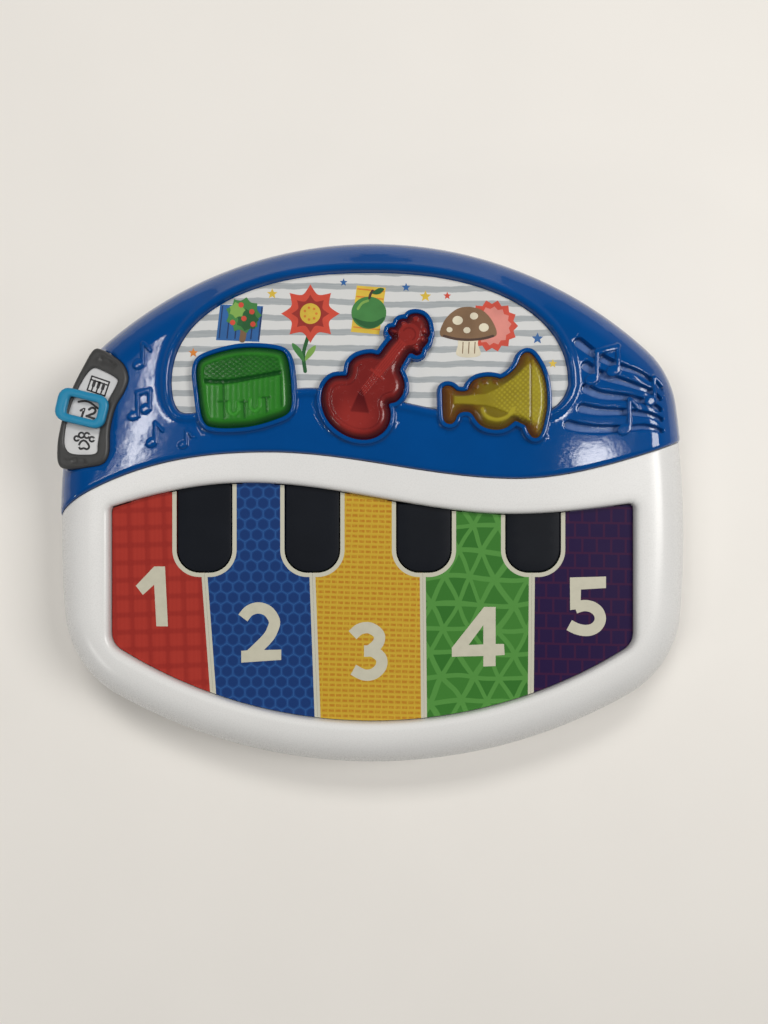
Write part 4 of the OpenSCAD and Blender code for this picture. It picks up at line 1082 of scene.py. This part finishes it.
# mode switch: grey bezel with a sunk label, and the ring that slides over it
modeSwitch = dict(
    top=nodeTop("mode_bezel"), low=nodeLow("mode_bezel"), labelTop=nodeTop("mode_label"), labelDeep=0.4,
    pivot=(0, 10), path=117.5, angle=math.radians(166.5), ringLow=nodeTop("mode_bezel") + 0.3,
    ringTop=nodeTop("mode_slider"), ringX=(-9, 11.5), ringHalf=6.8, ringRound=4.2,
    windowX=(-5.3, 7), windowHalf=3.5, windowRound=1.6, legX=(-6.4, -5.7), legHalf=2.4, legRound=0.3,
)
labelLoop = respace(smoothLoop([
    (-112, 54), (-108, 53), (-102.5, 50), (-102.4, 47.5), (-105.5, 41.5), (-107.5, 35.5), (-109, 29.5),
    (-110, 23.5), (-110.6, 20), (-116, 19.4), (-121, 20), (-123.2, 22.5), (-123.4, 27), (-122.4, 33),
    (-120.5, 40), (-116, 49.5)]), 0.8)


def buildBezel():
    s = modeSwitch
    marks = [offsetLoop(bezelLoop, -d) for d in (0.3, 0.8, 1.4, 2.0)]
    marks += [offsetLoop(labelLoop, d) for d in (0.15, 0.4, 0.8, 1.3)]
    flat, faces = triangles(bezelLoop, [labelLoop], marks, step=0.9)
    d = -signedDistance(flat, bezelLoop)
    z = s["top"] + roundOver(d, 1.7)
    z += profile(distanceTo(flat, labelLoop), [(0, -0.45), (0.4, -0.12), (0.8, -0.03), (1.3, 0)])
    for slot in ([(-108.6, 57.3), (-105.2, 56.4), (-103.0, 55.0)], [(-119.5, 16.9), (-115.4, 16.4)]):
        z -= 1.1 * ridge(distanceTo(flat, np.array(slot), False), 0.75, 0.5)
    z -= 0.35 * ridge(np.abs(d - 3.0), 0.25, 0.4) * (distanceTo(flat, labelLoop) > 1.5)

    def lowZ(p, h):
        return np.where(distanceTo(p, labelLoop) < 0.3, s["labelTop"] - s["labelDeep"], s["low"] + 0.3)
    verts, faces = skin(flat, faces, z, lowZ)
    obj = newObject("modeBezel", verts, faces, "casing", ["mode_bezel"])
    dress(obj, mouldedPlastic("greyPlastic", srgb(60, 60, 60), rough=0.42, mottle=0.05, skinDepth=0.14))


def modePoint(x, y):
    s = modeSwitch
    c, t = math.cos(s["angle"]), math.sin(s["angle"])
    r = s["path"] + x
    return (s["pivot"][0] + r * c - y * t, s["pivot"][1] + r * t + y * c)


def buildLabel():
    s = modeSwitch
    paper = Finish("labelPaper", Roughness=0.4, Specular_IOR_Level=0.4)
    paper.set(Base_Color=paper.mix(paper.noise(160, 4).step(0.3, 0.75), srgb(196, 197, 198),
                                   srgb(186, 187, 189)),
              Normal=paper.bump(paper.noise(2400, 2), 0.05))
    flat, faces = triangles(offsetLoop(labelLoop, 0.1), step=3)
    verts, faces = skin(flat, faces, np.full(len(flat), s["labelTop"]),
                        lambda p, h: np.full(len(p), s["labelTop"] - s["labelDeep"]))
    obj = newObject("modeLabel", verts, faces, "casing", ["mode_label"], smooth=False)
    dress(obj, paper)
    ink = Finish("labelInk", Roughness=0.5)
    ink.set(Base_Color=ink.mix(ink.noise(500, 3).step(0.4, 0.8), srgb(38, 38, 40), srgb(66, 66, 68)))
    strokes = []

    def pen(points, width):
        strokes.append(ribbonLoop(respace(np.array(points, float), 0.25, closed=False), width))

    tilt = math.radians(-19)

    def turned(cx, cy, pts):
        c, t = math.cos(tilt), math.sin(tilt)
        return [(cx + x * c - y * t, cy + x * t + y * c) for x, y in pts]
    # small keyboard
    kx, ky = -109.9, 47.0
    half, pitch, high, low = 3.7, 1.95, 2.9, -3
    frameLines = [[(-half, high), (half, high)], [(-half, high), (-half, low)], [(half, high), (half, low)],
                  [(-half, 1.5), (half, 1.5)], [(-half, low), (half, low)]]
    keyLines = [[(x, -0.5), (x, low)] for x in (-pitch, 0, pitch)]
    for pts in frameLines + keyLines:
        pen(turned(kx, ky, pts), 0.62)
    for x in (-pitch, 0, pitch):
        pen(turned(kx, ky, [(x, 1.3), (x, -0.6)]), 1.25)
    # arc over two figures
    pen(smoothRoute(turned(-113.8, 39.4, [(-4.2, -0.2), (-2, 0.9), (0.6, 1.0), (4, -0.2)]), 6), 0.85)
    pen(turned(-116.2, 36.0, [(-1.1, 0.8), (0.1, 2), (0.1, -2)]), 0.95)
    pen(smoothRoute(turned(-112.5, 36.2, [(-1.5, 0.9), (-0.5, 2), (0.9, 1.7), (1.0, 0.3), (-0.4, -1),
                                          (-1.5, -2)]), 5), 0.95)
    pen(turned(-112.5, 36.2, [(-1.6, -1.9), (1.7, -1.9)]), 0.95)
    # paw print
    for x, y, r in ((-118.6, 25.9, 0.95), (-116.7, 27.2, 1.05), (-114.5, 27.1, 1.05), (-112.5, 25.6, 0.95)):
        pen(arcPoints((x, y), r, 0, 2 * math.pi, 25), 0.8)
    pen(smoothRoute([(-117.8, 22.8), (-117.1, 24.4), (-115.8, 25.1), (-114.5, 24.3), (-113.6, 22.6),
                     (-114.4, 21.6), (-115.8, 22), (-117.1, 21.7), (-117.8, 22.8)], 5), 0.85)
    for k, loop in enumerate(strokes):
        printShape(f"labelStroke{k}", "casing", loop, k % 2, ink, s["labelTop"])


def sweep(centres, radii, normals, sides):
    rings = []
    a = np.linspace(0, 2 * math.pi, sides, endpoint=False)
    section = [np.sign(w) * np.abs(w)**0.75 for w in (np.cos(a), np.sin(a))]  # squarer than a circle
    for c, n, (rw, rh) in zip(centres, normals, radii):
        rings.append([(c[0] + n[0] * rw * u, c[1] + n[1] * rw * u, c[2] + rh * v)
                      for u, v in zip(*section)])
    at = lambda k, i: k % len(rings) * sides + i % sides
    faces = [(at(k, i), at(k, i + 1), at(k + 1, i + 1), at(k + 1, i))
             for k in range(len(rings)) for i in range(sides)]
    return np.array(rings).reshape(-1, 3), faces


def roundedBox(x0, x1, h, r, n=8):
    corners = [(x1 - r, h - r, 0), (x0 + r, h - r, 90), (x0 + r, r - h, 180), (x1 - r, r - h, 270)]
    return np.concatenate([arcPoints((x, y), r, math.radians(a), math.radians(a + 90), n)
                           for x, y, a in corners])


def buildRing():
    s = modeSwitch
    outer = roundedBox(*s["ringX"], s["ringHalf"], s["ringRound"])
    inner = roundedBox(*s["windowX"], s["windowHalf"], s["windowRound"])
    mid = respace((outer + inner) / 2, 0.9)
    half = distanceTo(mid, outer)
    t = np.roll(mid, -1, axis=0) - np.roll(mid, 1, axis=0)
    t /= np.linalg.norm(t, axis=1, keepdims=True)
    n = np.stack([t[:, 1], -t[:, 0]], axis=1)
    c, q = math.cos(s["angle"]), math.sin(s["angle"])
    turn = np.array([[c, -q], [q, c]])
    centre = np.array([modePoint(*p) for p in mid])
    middle = np.full(len(mid), (s["ringLow"] + s["ringTop"]) / 2)
    radii = [(h, (s["ringTop"] - s["ringLow"]) / 2) for h in half]
    verts, faces = sweep(np.column_stack([centre, middle]), radii, n @ turn.T, 24)
    obj = newObject("modeRing", verts, faces, "mode_slider", ["mode_slider"])
    dress(obj, ringFinish)
    leg = np.array([modePoint(x, y) for x, y in roundedBox(*s["legX"], s["legHalf"], s["legRound"], 3)])
    flat, lid = triangles(leg, step=2)
    verts, faces = skin(flat, lid, np.full(len(flat), s["ringLow"] + 0.8),
                        lambda p, h: np.full(len(p), nodeTop("slider_clip")))
    obj = newObject("modeRingLeg", verts, faces, "mode_slider", smooth=False)
    dress(obj, ringFinish)


ringFinish = mouldedPlastic("lightBluePlastic", srgb(34, 126, 164), rough=0.36, mottle=0.04, skinDepth=0.1)
buildBezel()
buildLabel()
buildRing()
print("mode switch built")

# picture panel: brushed grey stripes with simple printed motifs
panelArt = dict(period=6.1, grey=0.44, paper=srgb(202, 203, 202), stripe=srgb(146, 152, 155),
                top=nodeTop("picture_panel"), low=panelZ, clear=2.3)


def buildPanel():
    s = panelArt
    f = Finish("panelPrint", Specular_IOR_Level=0.3)
    x, y, _ = f.place()
    wave = (x * 0.045).sin() * 0.5 + (f.noise(55, 2) - 0.5) * 2.6 + (f.noise(420, 3) - 0.5) * 0.5
    brush = f.node("ShaderNodeTexNoise", {}, dict(
        Vector=f.node("ShaderNodeCombineXYZ", {}, [x * 0.05, y * 1.2, 0.0]), Scale=1.6, Detail=4.0))
    row = ((y + wave) / s["period"]).fract()
    width = s["grey"] + (f.noise(90, 2) - 0.5) * 0.14
    band = row.step(0.02, 0.06) * (1 - (row - width).step(-0.02, 0.03)) * (0.55 + 0.6 * brush)
    f.set(Base_Color=f.mix(band, s["paper"], s["stripe"]), Roughness=0.4 + f.noise(80, 3) * 0.12,
          Normal=f.bump(f.noise(1500, 2), 0.04))
    flat, faces = triangles(offsetLoop(panelLoop, -0.05), [offsetLoop(l, s["clear"]) for l in buttonLoops],
                            step=5)
    verts, sheet = skin(flat, faces, np.full(len(flat), s["top"]),
                        lambda p, h: np.full(len(p), s["low"] + 0.02))
    obj = newObject("pictureSheet", verts, sheet, "casing", ["picture_panel"],
                    smooth=False)
    dress(obj, f)


def inkFinish(name, colour, depth=0.1):
    f = Finish(name, Roughness=0.42, Specular_IOR_Level=0.4)
    f.set(Base_Color=f.mix(f.noise(130, 4).step(0.3, 0.75), shade(colour, 1 + depth),
                           shade(colour, 1 - depth)),
          Normal=f.bump(f.noise(1500, 2), 0.04))
    return f


def scallopLoop(x, y, r, waves, depth):
    a = np.linspace(0, 2 * math.pi, 96, endpoint=False)
    return polar((x, y), r * (1 - depth * np.abs(np.sin(a * waves / 2))**0.8), a)


def starLoop(x, y, r, points, inner, turn=0.0):
    a = np.arange(2 * points) * math.pi / points + turn
    return polar((x, y), np.where(np.arange(2 * points) % 2 == 0, r, r * inner), a)


def buildMotifs():
    inks = {k: inkFinish(k + "Ink", srgb(*c)) for k, c in dict(
        coral=(190, 72, 56), darkCoral=(142, 48, 42), green=(64, 120, 64), darkGreen=(40, 88, 50),
        lime=(118, 156, 76), yellow=(202, 172, 64), sky=(46, 94, 150), navy=(34, 52, 92),
        brown=(118, 92, 68), darkBrown=(72, 54, 46), cream=(206, 198, 176), orange=(200, 122, 52),
        pink=(202, 128, 118)).items()}

    def pen(points, width):
        return ribbonLoop(respace(smoothRoute(points, 6), 0.4, closed=False), width)

    def show(name, at, size, pieces):
        for k, (ink, loop) in enumerate(pieces):
            printShape(f"{name}{k}", "casing", np.array(loop, float) * size + at, k, inks[ink],
                       panelArt["top"])
    show("tree", (-52, 74.4), 1.14, [
        ("sky", [(-9.7, -7.6), (5.6, -8.2), (7, 4.4), (-8.2, 5)]),
        *[("navy", pen([(-8.6 + 2.8 * k, -6.8 - 0.1 * k), (-7.4 + 2.8 * k, 4.3 - 0.1 * k)], 0.45))
          for k in range(6)],
        ("brown", pen([(-0.4, -7.4), (0, -5.2), (-0.2, -2.6)], 2.2)),
        ("green", scallopLoop(0, 1.2, 6.6, 9, 0.2)),
        ("darkGreen", scallopLoop(1.4, -0.4, 4.2, 7, 0.22)),
        ("lime", scallopLoop(-2.2, 3, 3, 7, 0.22)),
        *[("coral", ovalLoop(x, y, 0.95, 0.95, n=20))
          for x, y in ((-3.8, -1.4), (3, 2.4), (-0.8, 4.8), (3.4, -2), (0.2, 0))]])
    show("flower", (-25, 76.4), 1.16, [
        ("darkGreen", pen([(-1.8, -20), (-2.4, -14), (-0.8, -8)], 1.3)),
        ("green", smoothLoop([(-2.2, -16.8), (-5.8, -12.6), (-6.2, -10.2), (-3.2, -12.6)])),
        ("lime", smoothLoop([(-1.8, -16.4), (1.2, -13.6), (1.8, -11), (-1, -13)])),
        ("coral", scallopLoop(0, 0, 10.2, 8, 0.3)),
        ("darkCoral", scallopLoop(0, 0, 6.6, 8, 0.3)),
        ("yellow", ovalLoop(0, 0, 3.6, 3.6)),
        *[("orange", ovalLoop(2.1 * math.cos(a), 2.1 * math.sin(a), 0.45, 0.45, n=12))
          for a in np.arange(7) * 2 * math.pi / 7]])
    show("fruit", (-1.4, 77.2), 1.1, [
        ("yellow", [(-4.4, 9.6), (-6.6, -7.4), (3.8, -8.4), (6.2, 8.8)]),
        *[("orange", pen([(-5.6 + 0.3 * k, -5.6 + 2.8 * k), (4 + 0.3 * k, -6.6 + 2.8 * k)], 0.45))
          for k in range(6)],
        ("green", ovalLoop(0, -0.4, 6.4, 5.9)),
        ("darkGreen", smoothLoop([(-5.8, -2.2), (-3, -5), (0.8, -6), (4.4, -4.4), (5.6, -2), (2, -3.6),
                                  (-2.2, -3.4)])),
        ("lime", pen([(-4, 1), (-2.6, 3), (-0.4, 4)], 0.9)),
        ("darkBrown", pen([(0.2, 5), (0.6, 6.4), (1.4, 7.6)], 0.9)),
        ("darkGreen", smoothLoop([(1.2, 6.8), (3.6, 8.6), (5.6, 8.2), (3.6, 6.4)]))])
    show("toadstool", (41, 68.6), 1.1, [
        ("coral", starLoop(6.6, 2.6, 9.6, 14, 0.84)),
        ("pink", starLoop(6.6, 2.6, 7.2, 14, 0.86, 0.1)),
        ("cream", smoothLoop([(-6.4, -8), (-5.8, -4), (-5.6, -0.6), (1.4, -0.6), (1.4, -4), (2.4, -8),
                              (-2, -9)])),
        *[("brown", pen([(x, -7.4), (x + 0.2, -3.4)], 0.35)) for x in (-4.2, -2, 0.2)],
        ("brown", smoothLoop([(-12.4, -0.8), (-10.8, 4.6), (-6.6, 8.6), (-1.8, 9.6), (3.2, 8.2),
                              (6.8, 4.2), (8.2, -0.8), (3, -2), (-2.2, -2.4), (-7.4, -2)])),
        ("darkBrown", pen([(-11, -1.1), (-7, -2.1), (-2, -2.5), (3, -2.1), (7, -1.1)], 0.9)),
        *[("cream", ovalLoop(x, y, r, r * 0.86, n=24))
          for x, y, r in ((-6, 4.6, 1.9), (0, 6.2, 1.5), (3.6, 2, 1.8), (-2.6, 1, 1.3), (-9, 1.2, 1.1))]])
    show("star", (0, 0), 1, [(ink, starLoop(x, y, r, 5, 0.45, 0.3)) for x, y, r, ink in (
        (21.4, 83.4, 2.4, "yellow"), (13.6, 87, 1.8, "sky"), (-40.4, 84.4, 2.2, "yellow"),
        (66.6, 66.4, 2.4, "sky"), (30.2, 83.6, 1.6, "coral"), (-72.2, 60.6, 2.0, "orange"),
        (72.8, 56.2, 1.8, "yellow"), (-11.6, 89, 1.6, "sky"))])


buildPanel()
buildMotifs()
print("panel printed")

# base: white tub with rounded foot, sunk screws, switch slot and battery door
base = dict(edge=6, rise=10, top=casing["parting"] - 0.15, sink=3.2, holeTop=8.0, doorGap=0.3, doorTop=2.6,
            tongueSide=3, knobGap=0.3, knobTravel=4.5)


def circleLoop(x, y, r, n=36):
    return ovalLoop(x, y, r, r, n=n)


def screwPlaces():
    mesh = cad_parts["case_screws"].data
    co = np.array([v.co[:] for v in mesh.vertices]) / mm
    low = co[co[:, 2] < co[:, 2].min() + 0.5][:, :2]
    places = []
    while len(low):
        near = np.linalg.norm(low - low[0], axis=1) < 12
        places.append((low[near].min(0) + low[near].max(0)) / 2)
        low = low[~near]
    return places


def buildBase():
    s = base
    loop = casingOutline(casing["whiteInset"])
    door = [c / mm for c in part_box("battery_door")]
    knob = [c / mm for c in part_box("power_knob")]
    tongue = [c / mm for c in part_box("door_screw")]
    tx, ty = (tongue[0].x + tongue[1].x) / 2, (tongue[0].y + tongue[1].y) / 2
    gap, inset = s["doorGap"], s["tongueSide"]
    x0, y0, y1 = door[0].x - gap, door[0].y - gap, door[1].y + gap
    reach = door[1].x + gap - tx
    x1 = tx - inset
    side = math.sqrt(max(reach**2 - inset**2, 0))
    a = np.linspace(-math.acos(-inset / reach), math.acos(-inset / reach), 20)
    doorLoop = np.concatenate([[(x0, y1), (x0, y0), (x1, y0), (x1, ty - side)],
                               polar((tx, ty), reach, a)[1:-1],
                               [(x1, ty + side), (x1, y1)]])
    left, right = knob[0].x - s["knobTravel"], knob[1].x + s["knobTravel"]
    near, far = knob[0].y - s["knobGap"], knob[1].y + s["knobGap"]
    slot = np.array([(left, near), (right, near), (right, far), (left, far)])
    doorLoop, slot = respace(doorLoop, 1.5), respace(slot, 1.0)
    screws = screwPlaces()
    holes = [circleLoop(x, y, s["sink"]) for x, y in screws] + [doorLoop, slot]
    turns = [math.radians(t) for t in (0, 12, 25, 38, 52, 66, 78)]
    rings = [respace(casingOutline(casing["whiteInset"] + s["edge"] * (1 - math.sin(t))), 3) for t in turns]
    rims = [circleLoop(x, y, s["sink"] + d) for x, y in screws for d in (0.5, 1.6, 2.1)]
    grooves = [offsetLoop(doorLoop, d) for d in (0.4, 1.0)]
    flat, faces = triangles(loop, holes, rings + rims + grooves, step=4)
    t = np.clip(1 + signedDistance(flat, loop) / s["edge"], 0, 1)
    z = s["rise"] * (1 - np.sqrt(1 - t * t))
    for x, y in screws:
        z += 0.5 * ridge(np.hypot(flat[:, 0] - x, flat[:, 1] - y), s["sink"] + 0.3, 0.5)
    z += 0.4 * ridge(distanceTo(flat, doorLoop), 0.3, 0.4)

    def highZ(p, h):
        atScrew = np.zeros(len(p), bool)
        for x, y in screws:
            atScrew |= np.hypot(p[:, 0] - x, p[:, 1] - y) < s["sink"] + 0.3
        atDoor = (distanceTo(p, doorLoop) < 0.3) | (distanceTo(p, slot) < 0.3)
        return np.where(atScrew, s["holeTop"], np.where(atDoor, s["doorTop"], s["top"]))
    verts, faces = skin(flat, faces, z, highZ)
    faces = [f[::-1] for f in faces]
    obj = newObject("baseTub", verts, faces, "casing", ["base_shell"])
    dress(obj, whiteFinish)


buildBase()


# every other solid: a finish by what it is made of
def metal(name, colour, rough):
    f = Finish(name, Metallic=1.0)
    brushed = f.noise(900, 3)
    f.set(Base_Color=f.mix(brushed, shade(colour, 0.85), colour), Roughness=rough + brushed * 0.15)
    return f


def circuitBoard():
    f = Finish("circuitBoard", Roughness=0.45)
    x, y, _ = f.place()
    track = ((x / 3.1).fract() - 0.5).abs().step(0.3, 0.34) * ((y / 9.0).floor() / 2).fract().step(0.2, 0.3)
    f.set(Base_Color=f.mix(track, srgb(22, 84, 48), srgb(46, 122, 74)), Normal=f.bump(track, 0.1))
    return f


domes = [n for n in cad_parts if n.endswith("_dome")]
steelPieces = ["key_hinge_rod", "door_screw", "case_screws", "battery_contacts", "speaker_frame"]
solidFinishes = {
    mouldedPlastic("blackPlastic", srgb(52, 52, 54), rough=0.45): ["power_switch", "power_knob", "sound_chip"],
    mouldedPlastic("rubber", srgb(88, 88, 90), rough=0.75): [*domes, "speaker_ring"],
    mouldedPlastic("paperCone", srgb(44, 44, 46), rough=0.85): ["speaker_cone"],
    mouldedPlastic("ferrite", srgb(70, 70, 72), rough=0.6): ["speaker_magnet"],
    mouldedPlastic("clearLens", srgb(226, 222, 196), rough=0.12): ["button_lights"],
    mouldedPlastic("cellJacket", srgb(150, 112, 40), rough=0.35): ["battery_cells"],
    mouldedPlastic("wireJacket", srgb(150, 34, 30), rough=0.4): ["internal_wires"],
    metal("steel", (0.62, 0.62, 0.63, 1), 0.28): steelPieces,
    circuitBoard(): ["key_board", "main_board", "mode_board"],
    whiteFinish: ["battery_door"],
    ringFinish: ["slider_clip"],
}
for finish, names in solidFinishes.items():
    for n in names:
        dress(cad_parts[n], finish)
plateTints = [(150, 50, 44), (36, 70, 130), (190, 152, 54), (60, 118, 54), (46, 30, 68)]
for i, tint in enumerate(plateTints):
    dress(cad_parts[f"key_{i + 1}"], mouldedPlastic(f"keyPlate{i + 1}", srgb(*tint), rough=0.4))
print("base and inner pieces dressed")

# stage: pale floor, soft room light and the camera above
stage = dict(
    floor=srgb(230, 227, 222), height=378, aim=(4.7, -3.6), focal=829, longSide=1024, sensor=36,
    bright=(0.98, 0.97, 0.95, 1), dark=(0.02, 0.02, 0.02, 1), room=0.36, lampColour=(1, 0.98, 0.95),
    lamps=[  # name, place, size, watts, seen in gloss
        ("leftTube", (-0.465, 0.13, 1.3), (0.46, 0.028), 1.0, True),
        ("rightTube", (0.41, 0.1, 1.3), (0.05, 0.07), 0.25, True),
        ("leftCeiling", (-0.6, 0.0, 1.3), (0.4, 0.4), 4.4, False),
        ("rightWindow", (0.82, 0.15, 1.15), (0.5, 0.5), 10.0, True),
        ("backCeiling", (-0.05, 0.8, 1.25), (0.5, 0.25), 7.2, False),
        ("spotNear", (-0.8, -0.44, 0.47), (0.02, 0.03), 0.3, True),
        ("spotFar", (-0.74, -0.56, 0.48), (0.02, 0.03), 0.3, True),
    ],
)


def buildStage():
    bpy.ops.mesh.primitive_plane_add(size=6)
    floor = bpy.context.active_object
    f = Finish("paleFloor", Roughness=0.55)
    f.set(Base_Color=f.mix(f.noise(14, 5).step(0.3, 0.7), shade(stage["floor"], 0.985), stage["floor"]),
          Normal=f.bump(f.noise(900, 3), 0.05))
    dress(floor, f)
    floor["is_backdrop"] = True
    cam = bpy.data.objects.new("camera", bpy.data.cameras.new("camera"))
    bpy.context.scene.collection.objects.link(cam)
    cam.location = (stage["aim"][0] * mm, stage["aim"][1] * mm, stage["height"] * mm)
    cam.data.sensor_width = stage["sensor"]
    cam.data.lens = stage["sensor"] * stage["focal"] / stage["longSide"]
    cam.data.clip_start = 0.01
    bpy.context.scene.camera = cam
    world = bpy.data.worlds.new("room")
    bpy.context.scene.world = world
    world.use_nodes = True
    room = Nodes(world.node_tree)
    _, toBack, up = room.parts(room.node("ShaderNodeTexCoord"))
    level = (1 - up.step(0.22, 0.75) * 0.86) * (0.7 + 0.1 * toBack)
    back = room.tree.nodes["Background"]
    room.feed(back.inputs["Color"], room.mix(level, stage["dark"], stage["bright"]))
    back.inputs["Strength"].default_value = stage["room"]

    def lamp(name, at, size, power, mirrored):
        light = bpy.data.lights.new(name, "AREA")
        light.shape, light.size, light.size_y = "RECTANGLE", *size
        light.energy, light.color = power, stage["lampColour"]
        obj = bpy.data.objects.new(name, light)
        bpy.context.scene.collection.objects.link(obj)
        obj.location, obj.visible_glossy = at, mirrored
        direction = -obj.location
        obj.rotation_euler = direction.to_track_quat("-Z", "Y").to_euler()
    for settings in stage["lamps"]:
        lamp(*settings)
    bpy.context.scene.view_settings.view_transform = "Standard"


buildStage()
drawnBox = [list(corner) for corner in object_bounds()]
print("stage set")
